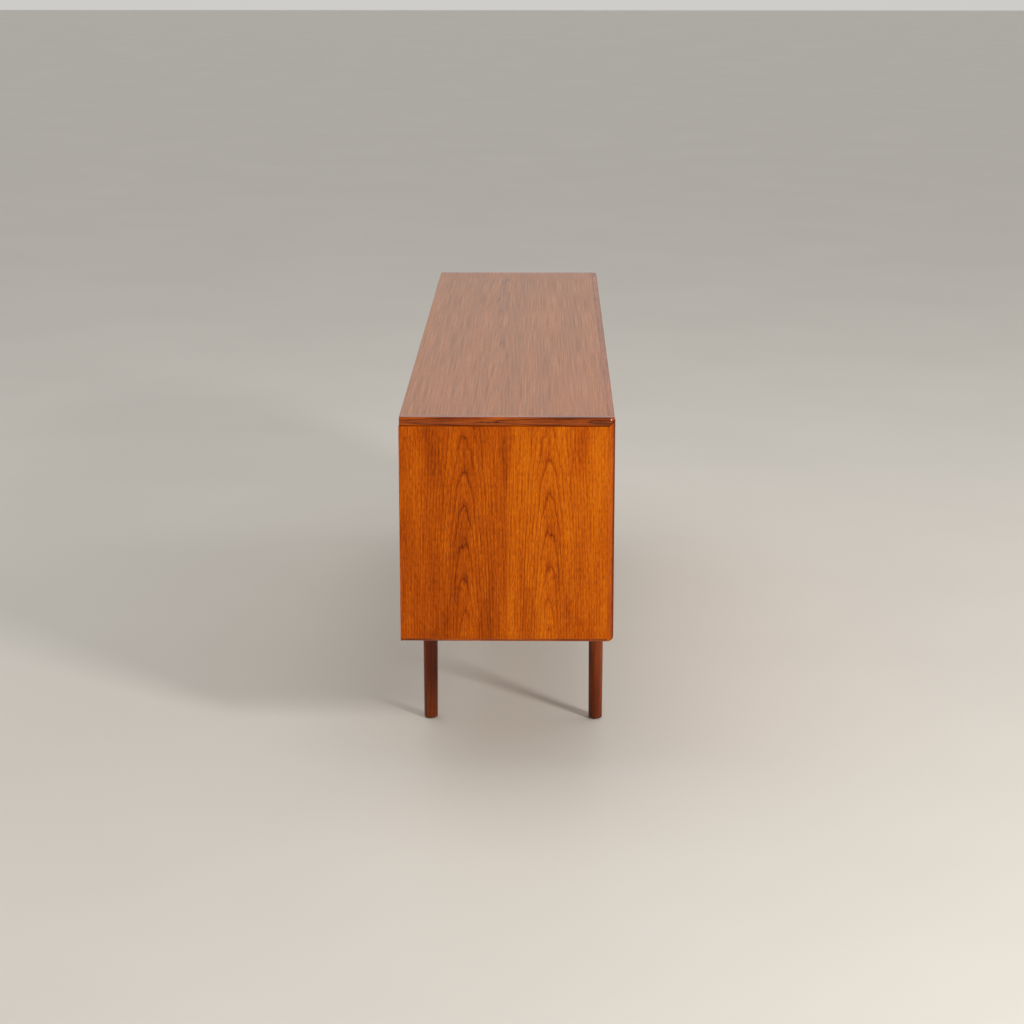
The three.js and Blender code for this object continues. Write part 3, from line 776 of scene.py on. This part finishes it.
# The back: a plywood sheet screwed on all round and into the dividers.
back_lo, back_hi = box_of("back_panel")
sheet = board(back_lo, back_hi, 0.5 * MM)
piece("back_board", sheet, "carcass", "plywood", plywood, "back_panel")
BACK_SCREWS_ACROSS = 8
BACK_SCREWS_UP = 4
BACK_SCREW_INSET = 9 * MM


def spread(start, end, count):
    return [start + (end - start) * i / (count - 1) for i in range(count)]


places = []
for x in spread(back_lo.x + 40 * MM, back_hi.x - 40 * MM, BACK_SCREWS_ACROSS):
    places += [(x, back_lo.z + BACK_SCREW_INSET), (x, back_hi.z - BACK_SCREW_INSET)]
columns = [back_lo.x + BACK_SCREW_INSET, back_hi.x - BACK_SCREW_INSET]
columns += [sum(box_of(f"{word}_divider"), Vector()).x / 2 for word in ("left", "right")]
for x in columns:
    places += [(x, z) for z in spread(back_lo.z + 60 * MM, back_hi.z - 60 * MM, BACK_SCREWS_UP)]
screws("back_screws", "carcass", [(Y, 1, (x, back_hi.y + SEAT, z)) for x, z in places])

# The shelves: a solid strip on the front edge, and four brass pins under each.
SHELF_STRIP = 8 * MM
PIN_R = 2.5 * MM
PIN_OUT = 11 * MM
for node in ("cupboard_shelf", "bar_shelf"):
    lo, hi = box_of(node)
    split = lo.y + SHELF_STRIP
    panel = stretch(lo, hi, Y, split + HAIRLINE, hi.y, 0.4 * MM)
    strip = stretch(lo, hi, Y, lo.y, split, 1.6 * MM, 4)
    piece(f"{node}_board", panel, "carcass", "inside_veneer", inside_x, node)
    piece(f"{node}_strip", strip, "carcass", "solid_teak", solid_x)
    profile = [(0, 0), (2 * PIN_R, 0), (2 * PIN_R, 1.2 * MM), (PIN_R, 1.6 * MM)]
    profile += [(r, PIN_OUT + h) for r, h in arc(0, -PIN_R, PIN_R, 0, 90, 6)]
    pins = []
    for y in (lo.y + 36 * MM, hi.y - 30 * MM):
        for x, inward in ((lo.x - MM, 1), (hi.x + MM, -1)):
            pin = lathe([(max(r, 0), h) for r, h in profile], 32)
            pin.transform(Matrix.Scale(inward, 4, (0, 0, 1)))
            bmesh.ops.recalc_face_normals(pin, faces=pin.faces)
            pin.transform(Matrix.Translation((x, y, lo.z - 2 * PIN_R - 0.1 * MM)) @ TURN[X])
            pins.append(pin)
    piece(f"{node}_pins", merged(pins), "carcass", "brass", brass)

# ---- the legs and their frame ----

GLIDE = 2.4 * MM  # thickness of the nylon glide under each leg
FOOT_EASING = 1.8 * MM
RAIL_EASING = 2.0 * MM
LEG_FOOT_R = 15.8 * MM
leg_boxes = {}
for row in ("front", "rear"):
    for word in ("left", "right"):
        leg_boxes[row, word] = box_of(f"leg_{row}_{word}")


def leg_shape(lo, hi, grow=0.0):
    """A turned leg: it tapers to a foot with an eased edge."""
    head = (hi.x - lo.x) / 2 + grow
    foot = LEG_FOOT_R + grow
    profile = [(0, GLIDE)]
    profile += arc(foot - FOOT_EASING, GLIDE + FOOT_EASING, FOOT_EASING, -90, 0, 5)
    steps = 12
    start = GLIDE + FOOT_EASING
    for i in range(1, steps + 1):
        share = i / steps
        profile.append((foot + (head - foot) * share, start + (hi.z - start) * share))
    profile.append((0, hi.z))
    middle = (lo + hi) / 2
    return turned(profile, Z, (middle.x, middle.y, 0), 72)


for (row, word), (lo, hi) in leg_boxes.items():
    name = f"leg_{row}_{word}"
    piece(f"{name}_turned", leg_shape(lo, hi), "carcass", "dark_teak", dark_z, name)
    middle = (lo + hi) / 2
    top = GLIDE - 0.05 * MM
    profile = [(0, 0), (8 * MM, 0), (9 * MM, 0.5 * MM), (9 * MM, top), (0, top)]
    glide = turned(profile, Z, (middle.x, middle.y, 0), 40)
    piece(f"{name}_glide", glide, "carcass", "plastic", plastic)

COUNTERBORE = (4.6 * MM, 14 * MM)  # radius and depth


def finish_rail(node, ending, rail, material, places):
    """Bores a rail from below for the screws at (x, y) places, and adds their heads."""
    under = box_of(node)[0].z
    radius, deep = COUNTERBORE
    rail = cut(rail, *(rod(Z, radius, (x, y, under - MM), deep + MM) for x, y in places))
    piece(f"{node}_{ending}", rail, "carcass", "dark_teak", material, node)
    heads = [(Z, -1, (x, y, under + deep - SEAT)) for x, y in places]
    screws(f"{node}_screws", "carcass", heads, 4.0)


for word in ("left", "right"):
    lo, hi = box_of(f"{word}_cross_rail")
    legs = [leg_boxes[row, word] for row in ("front", "rear")]
    ends = [(a.y + b.y) / 2 for a, b in legs]
    rail = stretch(lo, hi, Y, *ends, RAIL_EASING, 4)
    rail = cut(rail, *(leg_shape(*leg, grow=GAP) for leg in legs))
    x = (lo.x + hi.x) / 2
    places = [(x, ends[0] + 95 * MM), (x, ends[1] - 95 * MM)]
    finish_rail(f"{word}_cross_rail", "scribed", rail, dark_y, places)
lo, hi = box_of("long_rail")
places = [(x, 0) for x in spread(lo.x + 150 * MM, hi.x - 150 * MM, 4)]
finish_rail("long_rail", "eased", board(lo, hi, RAIL_EASING, 4), dark_x, places)

# ---- pulls and pins ----

# A pull from its foot to its face: (out, half-width), in millimetres.
PULL_PROFILE = (
    (0.0, 6.0), (0.8, 5.5), (2.2, 5.0), (4.2, 5.0), (6.0, 5.9), (7.6, 7.8), (8.8, 9.6),
    (9.6, 10.6), (10.3, 11.0), (10.9, 10.9), (11.5, 10.3), (11.9, 9.2), (12.0, 7.6),
)


def pull(node, body):
    """A carved pull: a waisted foot under a wide face, hollow behind for the fingertips."""
    lo, hi = box_of(node)
    axis = long_axis(lo, hi)
    centre = (lo + hi) / 2
    half_long = (hi[axis] - lo[axis]) / 2
    widest = max(half for _, half in PULL_PROFILE)
    rings = []
    for out, half in PULL_PROFILE:
        outline = rounded(half_long - (widest - half) * MM, half * MM, half * 0.5 * MM)
        ring = []
        for along, across in outline:
            x, z = (along, across) if axis == X else (across, along)
            ring.append((centre.x + x, hi.y - out * MM, centre.z + z))
        rings.append(ring)
    material = solid_x if axis == X else solid_z
    piece(f"{node}_carved", loft(rings), body, "solid_teak", material, node, crease=40)


def hinge_pin(node, body, gap_lo, gap_hi):
    """A brass pin with rounded ends and a collar in the gap between panel and carcass."""
    lo, hi = box_of(node)
    axis = long_axis(lo, hi)
    start = (lo + hi) / 2
    r = (hi - lo)[(axis + 1) % 3] / 2
    start[axis] = lo[axis]
    length = hi[axis] - lo[axis]
    edge = 0.6 * MM
    collar = r + 2.6 * MM
    a = gap_lo - lo[axis] + 0.15 * MM
    b = gap_hi - lo[axis] - 0.15 * MM
    profile = [(0, 0), (r - edge, 0), (r, edge), (r, a), (collar - 0.2 * MM, a)]
    profile += [(collar, a + 0.3 * MM), (collar, b - 0.3 * MM), (collar - 0.2 * MM, b), (r, b)]
    profile += [(r, length - edge), (r - edge, length), (0, length)]
    piece(f"{node}_turned", turned(profile, axis, start, 40), body, "brass", brass, node)


# ---- the doors ----

HINGE_STRIP = 16 * MM  # solid wood that the hinge pins turn in
EDGE_STRIP = 7 * MM  # solid wood on the other edges
door_seam = (box_of("door_left_panel")[1].x + box_of("door_right_panel")[0].x) / 2
door_veneer = wood(
    "door_veneer", FRONT_TONES, Z, X, centre=door_seam, axis=0.2, book=True, leaf_shift=0.018,
    pith=-0.03, lean=0.09, spacing=0.0062, fade=0.1, seed=0.11, **FRONT_FIGURE,
)


def door(word, side):
    """A door: veneered panel, solid strips, and a hinge edge rounded about its pins."""
    body = f"door_{word}"
    lo, hi = box_of(f"{body}_panel")
    r = (hi.y - lo.y) / 2
    hinge_x, free_x = (lo.x, hi.x) if side < 0 else (hi.x, lo.x)
    inward = -side
    pivot_x = hinge_x + inward * r
    strip_x = hinge_x + inward * HINGE_STRIP
    edge_x = free_x - inward * EDGE_STRIP
    bend = arc(pivot_x, lo.y + r, r, -90, 90 if side > 0 else -270, 24)
    strip = prism(Z, [(strip_x, lo.y), *bend, (strip_x, hi.y)], lo.z, hi.z)
    strip = cut(strip, *(pin_room(f"{body}_{end}_pin", 0.1 * MM) for end in ("top", "bottom")))
    panel_x = sorted((strip_x + inward * HAIRLINE, edge_x - inward * HAIRLINE))
    panel = stretch(lo, hi, X, *panel_x)
    free = stretch(lo, hi, X, *sorted((edge_x, free_x)), STRIP_ARRIS, 3)
    piece(f"{body}_board", panel, body, "front_veneer", door_veneer, f"{body}_panel")
    piece(f"{body}_hinge_strip", strip, body, "solid_teak", solid_z)
    piece(f"{body}_meeting_strip", free, body, "solid_teak", solid_z)
    pull(f"{body}_pull", body)
    hinge_pin(f"{body}_top_pin", body, hi.z, top_lo.z)
    hinge_pin(f"{body}_bottom_pin", body, bottom_hi.z, lo.z)


door("left", -1)
door("right", 1)

# ---- the flap and its stay ----

flap_lo, flap_hi = box_of("flap_panel")
flap_middle = (flap_lo + flap_hi) / 2
flap_veneer = wood(
    "flap_veneer", FRONT_TONES, X, Z, centre=flap_middle.z, axis=0.06, pith=-0.02,
    lean=0.075, spacing=0.006, fade=0.12, seed=-0.3, **FRONT_FIGURE,
)


def flap():
    lo, hi = flap_lo, flap_hi
    r = (hi.y - lo.y) / 2
    split = lo.z + HINGE_STRIP
    edge = hi.z - EDGE_STRIP
    bend = arc(lo.y + r, lo.z + r, r, 180, 360, 24)
    strip = prism(X, [(hi.y, split), (lo.y, split), *bend], lo.x, hi.x)
    strip = cut(strip, *(pin_room(f"flap_{word}_pin", 0.1 * MM) for word in ("left", "right")))
    panel = stretch(lo, hi, Z, split + HAIRLINE, edge - HAIRLINE)
    rim = stretch(lo, hi, Z, edge, hi.z, STRIP_ARRIS, 3)
    piece("flap_board", panel, "flap", "front_veneer", flap_veneer, "flap_panel")
    piece("flap_hinge_strip", strip, "flap", "solid_teak", solid_x)
    piece("flap_top_strip", rim, "flap", "solid_teak", solid_x)
    pull("flap_pull", "flap")
    hinge_pin("flap_left_pin", "flap", box_of("right_divider")[1].x, lo.x)
    hinge_pin("flap_right_pin", "flap", hi.x, right_lo.x)


flap()

# The stay: a rod that turns on a lug on the flap and slides through a swivelling eye.
eye_lo, eye_hi = box_of("stay_eye")
lug_lo, lug_hi = box_of("flap_stay_lug")
post_lo, post_hi = box_of("stay_post")
EAR_R = 6 * MM
EAR_T = 4 * MM
LUG_BASE_T = 2.5 * MM
ROD_R = 3 * MM
ROD_LENGTH = 386 * MM
ROD_PLAY = 0.4 * MM  # about the rod, in the eye
LUG_PIN_R = 2.2 * MM
POST_PIN_R = 2.3 * MM
PIN_PLAY = 0.3 * MM  # about either pin
POST_SCREWS_R = 9.2 * MM  # from the post's middle to its screws
EAR_OFF = 12 * MM  # from the rod's middle to the ear's outer face
eye_at = (eye_lo + eye_hi) / 2
lug_at = Vector((eye_at.x, lug_hi.y - EAR_R, (lug_lo.z + lug_hi.z) / 2))
ear_x = (eye_at.x - EAR_OFF, eye_at.x - EAR_OFF + EAR_T)
tilt = math.atan2(eye_at.z - lug_at.z, eye_at.y - lug_at.y)


def along_rod(bm, place):
    """Turns a shape made along +Y about the origin to the rod's rest direction."""
    bm.transform(Matrix.Translation(place) @ Matrix.Rotation(tilt, 4, "X"))
    return bm


def stay_lug():
    """A screwed plate with an ear, and the pin that the rod's eye turns on."""
    base_back = lug_lo.y + LUG_BASE_T
    base = board(lug_lo, Vector((ear_x[1], base_back, lug_hi.z)), 0.5 * MM)
    foot = lug_lo.y + 1 * MM
    curve = arc(lug_at.y, lug_at.z, EAR_R, -80, 80, 16)
    ear = prism(X, [(foot, lug_at.z - 15 * MM), *curve, (foot, lug_at.z + 15 * MM)], *ear_x)
    soften(ear, 0.4 * MM, 2, least=60)
    pin = [(0, 0), (LUG_PIN_R, 0), (LUG_PIN_R, 11.6 * MM), (1.8 * MM, 12 * MM), (0, 12 * MM)]
    pin = turned(pin, X, (ear_x[1] - MM, lug_at.y, lug_at.z), 32)
    lug = joined(base, ear, pin)
    piece("stay_lug_plate", lug, "flap", "brass", brass, "flap_stay_lug")
    heads = []
    for z in (lug_lo.z + 7 * MM, lug_hi.z - 7 * MM):
        heads.append((Y, 1, (lug_lo.x + 7 * MM, base_back + SEAT, z)))
    screws("stay_lug_screws", "flap", heads, 3.2)


def stay_rod():
    """A round rod: a flat eye on one end, a stop collar on the other."""
    eye = turned(
        [(0, -2.5 * MM), (4.9 * MM, -2.5 * MM), (5.5 * MM, -1.9 * MM), (5.5 * MM, 1.9 * MM),
         (4.9 * MM, 2.5 * MM), (0, 2.5 * MM)], X, (0, 0, 0), 48,
    )
    stop = ROD_LENGTH - 6 * MM
    bar = [(0, 3 * MM), (2.4 * MM, 3 * MM), (2.4 * MM, 6 * MM), (ROD_R, 9 * MM), (ROD_R, stop)]
    bar += [(4.1 * MM, stop), (4.6 * MM, stop + 0.5 * MM), (4.6 * MM, ROD_LENGTH - 1.2 * MM)]
    bar += [(3.8 * MM, ROD_LENGTH - 0.3 * MM), (2.4 * MM, ROD_LENGTH), (0, ROD_LENGTH)]
    shape = joined(eye, turned(bar, Y, (0, 0, 0), 40))
    shape = cut(shape, rod(X, LUG_PIN_R + PIN_PLAY, (-4 * MM, 0, 0), 8 * MM))
    piece("stay_rod_turned", along_rod(shape, lug_at), "stay_rod_body", "brass", brass, "stay_rod")


def stay_eye():
    """A round block that the rod slides through, bored for the post's pin."""
    r = (eye_hi.z - eye_lo.z) / 2
    half = (eye_hi.x - eye_lo.x) / 2
    profile = [(0, -half), (r - MM, -half), (r, MM - half), (r, -3 * MM), (r - 0.5 * MM, -2.5 * MM)]
    profile += [(r - 0.5 * MM, 2.5 * MM), (r, 3 * MM), (r, half - MM), (r - MM, half), (0, half)]
    drum = turned(profile, X, (0, 0, 0), 56)
    rod_bore = rod(Y, ROD_R + ROD_PLAY, (0, -12 * MM, 0), 24 * MM)
    pin_bore = rod(X, POST_PIN_R + PIN_PLAY, (3 * MM, 0, 0), 4 * MM)
    drum = cut(drum, rod_bore, pin_bore)
    piece("stay_eye_bored", along_rod(drum, eye_at), "stay_eye_body", "brass", brass, "stay_eye")


def stay_post():
    """A flange on the end panel, with the pin that the eye turns on."""
    flange = post_hi.x - 3 * MM
    reach = post_hi.x - post_lo.x
    r = (post_hi.z - post_lo.z) / 2
    profile = [(0, 0), (r, 0), (r, 2.2 * MM), (r - 0.8 * MM, 3 * MM), (6.6 * MM, 3 * MM)]
    profile += [(6 * MM, 3.6 * MM), (6 * MM, 10.4 * MM), (5.5 * MM, 10.9 * MM), (POST_PIN_R, 10.9 * MM)]
    profile += [(POST_PIN_R, reach - 0.4 * MM), (1.9 * MM, reach), (0, reach)]
    shape = lathe(profile, 48)
    shape.transform(Matrix.Rotation(math.pi, 4, "Y"))
    shape.transform(Matrix.Translation((post_hi.x, eye_at.y, eye_at.z)) @ TURN[X])
    piece("stay_post_turned", shape, "carcass", "brass", brass, "stay_post")
    heads = []
    for y, z in arc(eye_at.y, eye_at.z, POST_SCREWS_R, 45, 225, 1):
        heads.append((X, -1, (flange - SEAT, y, z)))
    screws("stay_post_screws", "carcass", heads, 2.2)


stay_lug()
stay_rod()
stay_eye()
stay_post()

# ---- magnetic catches ----

CATCH_DEEP = 14 * MM
CATCH_TALL = 13 * MM
PLATE_T = 0.8 * MM
inner_face_y = flap_hi.y


def catch(name, x, half_wide):
    """A magnet in a nylon body under the top, with two steel poles in front."""
    front = inner_face_y + 2.1 * MM
    lo = Vector((x - half_wide, front, top_lo.z - CATCH_TALL - GAP))
    hi = Vector((x + half_wide, front + CATCH_DEEP, top_lo.z - GAP))
    piece(f"{name}_body", board(lo, hi, 1.2 * MM, 3), "carcass", "plastic", plastic)
    poles = []
    for z in (lo.z + 3 * MM, hi.z - 4.5 * MM):
        pole_lo = Vector((lo.x + 4 * MM, front - 0.7 * MM, z))
        pole_hi = Vector((hi.x - 4 * MM, front - SEAT, z + 1.5 * MM))
        poles.append(board(pole_lo, pole_hi, 0.2 * MM))
    piece(f"{name}_poles", merged(poles), "carcass", "steel", steel)
    heads = []
    for end in (-1, 1):
        at = (x + end * (half_wide - 6 * MM), front + CATCH_DEEP / 2 + MM, lo.z - SEAT)
        heads.append((Z, -1, at))
    screws(f"{name}_screws", "carcass", heads, 2.2)


def strike_plate(name, body, x, half_wide):
    """The steel plate that the magnet holds, on the inner face of a door or of the flap."""
    lo = Vector((x - half_wide, inner_face_y + SEAT, flap_hi.z - 13 * MM))
    hi = Vector((x + half_wide, inner_face_y + SEAT + PLATE_T, flap_hi.z - 1.5 * MM))
    piece(name, board(lo, hi, 0.25 * MM), body, "steel", steel)


catch("door_catch", door_seam, 30 * MM)
strike_plate("door_left_strike_plate", "door_left", door_seam - 16 * MM, 10 * MM)
strike_plate("door_right_strike_plate", "door_right", door_seam + 16 * MM, 10 * MM)
catch("flap_catch", flap_middle.x, 22 * MM)
strike_plate("flap_strike_plate", "flap", flap_middle.x, 18 * MM)

# ---- the drawers ----

TAIL_DEEP = 11 * MM  # how far the sides' tails reach into the front
TAIL_PITCH = 34 * MM
TAIL_ROOT = 8 * MM  # half-width of a tail where it leaves the side
TAIL_FLARE = 2.2 * MM
SIDE_EASING = 1.6 * MM
RIM_STRIP = 6 * MM
drawer_veneer = wood(
    "drawer_veneer", FRONT_TONES, X, Z, centre=0.56, axis=0.05, pith=-0.04, lean=0.1,
    spacing=0.0064, fade=0.12, seed=0.42, **FRONT_FIGURE,
)


def tail_heights(lo, hi):
    count = max(2, round((hi - lo) / TAIL_PITCH))
    pitch = (hi - lo) / count
    return [lo + (i + 0.5) * pitch for i in range(count)]


def drawer_side(lo, hi, heights):
    """A drawer's side with dovetails on its front end and an eased top edge."""
    outline = [(hi.y, lo.z), (hi.y, hi.z), (lo.y, hi.z)]
    for z in reversed(heights):
        outline.append((lo.y, z + TAIL_ROOT))
        outline.append((lo.y - TAIL_DEEP, z + TAIL_ROOT + TAIL_FLARE))
        outline.append((lo.y - TAIL_DEEP, z - TAIL_ROOT - TAIL_FLARE))
        outline.append((lo.y, z - TAIL_ROOT))
    outline.append((lo.y, lo.z))
    side = prism(X, outline, lo.x, hi.x)

    def top_edge(e):
        a, b = (vert.co for vert in e.verts)
        return min(a.z, b.z) > hi.z - 0.1 * MM and abs(a.y - b.y) > 0.1

    return soften(side, SIDE_EASING, 4, only=top_edge)


def socket(x0, x1, z, front):
    """The room that one tail takes in the drawer's front."""
    play = 0.1 * MM
    tip = front - TAIL_DEEP - play
    root, wide = TAIL_ROOT + play, TAIL_ROOT + TAIL_FLARE + play
    outline = [(front + MM, z - root), (front + MM, z + root), (front, z + root), (tip, z + wide)]
    return prism(X, outline + [(tip, z - wide), (front, z - root)], x0, x1)


def drawer(word):
    body = f"{word}_drawer"
    lo, hi = box_of(f"{body}_front")
    left = box_of(f"{body}_left_side")
    right = box_of(f"{body}_right_side")
    heights = tail_heights(max(left[0].z, lo.z) + 8 * MM, left[1].z - 4 * MM)
    splits = (lo.z + RIM_STRIP, hi.z - RIM_STRIP)
    front = stretch(lo, hi, Z, splits[0] + HAIRLINE, splits[1] - HAIRLINE)
    rooms = []
    for z in heights:
        rooms.append(socket(lo.x - MM, left[1].x + 0.1 * MM, z, left[0].y))
        rooms.append(socket(right[0].x - 0.1 * MM, hi.x + MM, z, right[0].y))
    front = cut(front, *rooms)
    piece(f"{body}_front_board", front, body, "front_veneer", drawer_veneer, f"{body}_front")
    for edge, low, high in (("lower", lo.z, splits[0]), ("upper", splits[1], hi.z)):
        strip = stretch(lo, hi, Z, low, high, STRIP_ARRIS, 3)
        piece(f"{body}_{edge}_strip", strip, body, "solid_teak", solid_x)
    pull(f"{body}_pull", body)
    for hand, box in (("left", left), ("right", right)):
        node = f"{body}_{hand}_side"
        side = drawer_side(*box, heights)
        piece(f"{node}_dovetailed", side, body, "inside_veneer", inside_y, node)
    back = board(*box_of(f"{body}_back"), STRIP_ARRIS, 3)
    piece(f"{body}_back_board", back, body, "inside_veneer", inside_x, f"{body}_back")
    floor = board(*box_of(f"{body}_bottom"), VENEER_ARRIS)
    piece(f"{body}_bottom_board", floor, body, "plywood", drawer_ply, f"{body}_bottom")


for word in ("lower", "middle", "cutlery"):
    drawer(word)

for word in ("middle", "cutlery"):
    for hand, direction in (("left", 1), ("right", -1)):
        node = f"{word}_drawer_{hand}_runner"
        lo, hi = box_of(node)
        piece(f"{node}_bar", board(lo, hi, 1.0 * MM, 3), "carcass", "beech", beech, node)
        x = hi.x if direction > 0 else lo.x
        heads = []
        for y in spread(lo.y + 40 * MM, hi.y - 40 * MM, 3):
            heads.append((X, direction, (x + direction * SEAT, y, (lo.z + hi.z) / 2)))
        screws(f"{node}_screws", "carcass", heads, 3.2)


def cutlery_tray():
    """A felt-covered board in the top drawer, under a rack of thin partitions."""
    lo, hi = box_of("cutlery_drawer_bottom")
    back_y = box_of("cutlery_drawer_back")[0].y
    margin = 0.8 * MM
    x0, x1 = lo.x + margin, hi.x - margin
    y0, y1 = lo.y + margin, back_y - margin
    felt_top = hi.z + 3.2 * MM
    pad = board((x0, y0, hi.z + 0.1 * MM), (x1, y1, felt_top), 1.0 * MM, 3)
    piece("cutlery_felt_board", pad, "cutlery_drawer", "felt", felt)
    rise, thick, columns = 34 * MM, 6 * MM, 5
    cross_y = y0 + 0.68 * (y1 - y0)
    z0, z1 = felt_top + 0.1 * MM, felt_top + rise
    walls = []
    for i in range(1, columns):
        x = x0 + (x1 - x0) * i / columns
        walls.append(((x - thick / 2, y0, z0), (x + thick / 2, cross_y - thick / 2 - 0.1 * MM, z1)))
    walls.append(((x0, cross_y - thick / 2, z0), (x1, cross_y + thick / 2, z1)))
    for number, (a, b) in enumerate(walls, 1):
        wall = board(a, b, 1.2 * MM, 3)
        material = inside_x if number == columns else inside_y
        piece(f"cutlery_partition_{number}", wall, "cutlery_drawer", "inside_veneer", material)


cutlery_tray()

# ---- scene ----


def stage_floor():
    bm = bmesh.new()
    bmesh.ops.create_grid(bm, x_segments=1, y_segments=1, size=40)
    mesh = bpy.data.meshes.new("floor")
    bm.to_mesh(mesh)
    bm.free()
    g = Surface("floor_paint")
    x, y, z = g.coordinates()
    patch = g.noise(g.vector(g.math("MULTIPLY", x, 1.5), g.math("MULTIPLY", y, 1.5), z), 2.0)
    colour = g.mix(patch, srgb("cdc9c2"), srgb("d5d1ca"))
    mesh.materials.append(g.finish(colour, 0.6, Specular_IOR_Level=0.3))
    floor = bpy.data.objects.new("floor", mesh)
    bpy.context.scene.collection.objects.link(floor)
    floor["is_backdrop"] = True


# The sky's (place, level) along X and up Z, where 0.5 is the horizon.
SKY_ALONG = ((0.0, 0.42), (0.5, 0.6), (1.0, 1.0))
SKY_UP = ((0.5, 0.68), (0.56, 0.82), (0.68, 1.0))
SKY_STRENGTH = 0.9
LAMPS = (  # name, place, size in metres, power in watts
    ("key", (-4.6, -3.6, 2.7), 0.9, 215),
    ("front_fill", (1.5, -5.0, 3.4), 3.0, 30),
    ("overhead", (0.0, 0.5, 4.5), 4.0, 40),
)
LAMP_AIM = Vector((0, 0, 0.5))
WARM_WHITE = (1.0, 0.97, 0.93)
CAMERA_AT = (-6.1667, -0.0845, 1.8376)
CAMERA_LEFT, CAMERA_DOWN = math.radians(0.825), math.radians(13.811)  # turned from +X
LENS = 86.45  # millimetres, on the sensor's 36


def sky():
    """Pale even light, brightest well above the horizon behind the far end."""
    world = bpy.data.worlds.new("studio")
    bpy.context.scene.world = world
    world.use_nodes = True
    g = Graph(world.node_tree)
    place = g.coordinates("Generated")
    bands = []
    for axis, stops in ((X, SKY_ALONG), (Z, SKY_UP)):
        from_0_to_1 = g.math("MULTIPLY_ADD", place[axis], 0.5, 0.5)
        tinted = [(at, (level, level * 0.995, level * 0.98)) for at, level in stops]
        bands.append(g.ramp(from_0_to_1, tinted))
    background = g.tree.nodes["Background"]
    background.inputs["Strength"].default_value = SKY_STRENGTH
    g.plug(background.inputs["Color"], g.mix(1.0, *bands, "MULTIPLY"))


def lamps():
    for name, place, size, power in LAMPS:
        light = bpy.data.lights.new(name, "AREA")
        light.size = size
        light.energy = power
        light.color = WARM_WHITE
        lamp = bpy.data.objects.new(name, light)
        lamp.location = place
        aim = LAMP_AIM - Vector(place)
        lamp.rotation_mode = "QUATERNION"
        lamp.rotation_quaternion = aim.to_track_quat("-Z", "Y")
        bpy.context.scene.collection.objects.link(lamp)


def camera():
    """Stands before the left end and looks down on the top."""
    data = bpy.data.cameras.new("camera")
    data.sensor_width = 36.0
    data.lens = LENS
    data.clip_end = 100
    eye = bpy.data.objects.new("camera", data)
    bpy.context.scene.collection.objects.link(eye)
    level = math.cos(CAMERA_DOWN)
    across = math.sin(CAMERA_LEFT) * level
    ahead = Vector((math.cos(CAMERA_LEFT) * level, across, -math.sin(CAMERA_DOWN)))
    eye.location = CAMERA_AT
    eye.rotation_mode = "QUATERNION"
    eye.rotation_quaternion = ahead.to_track_quat("-Z", "Y")
    bpy.context.scene.camera = eye


stage_floor()
sky()
lamps()
camera()
bpy.context.scene.view_settings.view_transform = "Standard"

lo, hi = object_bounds()
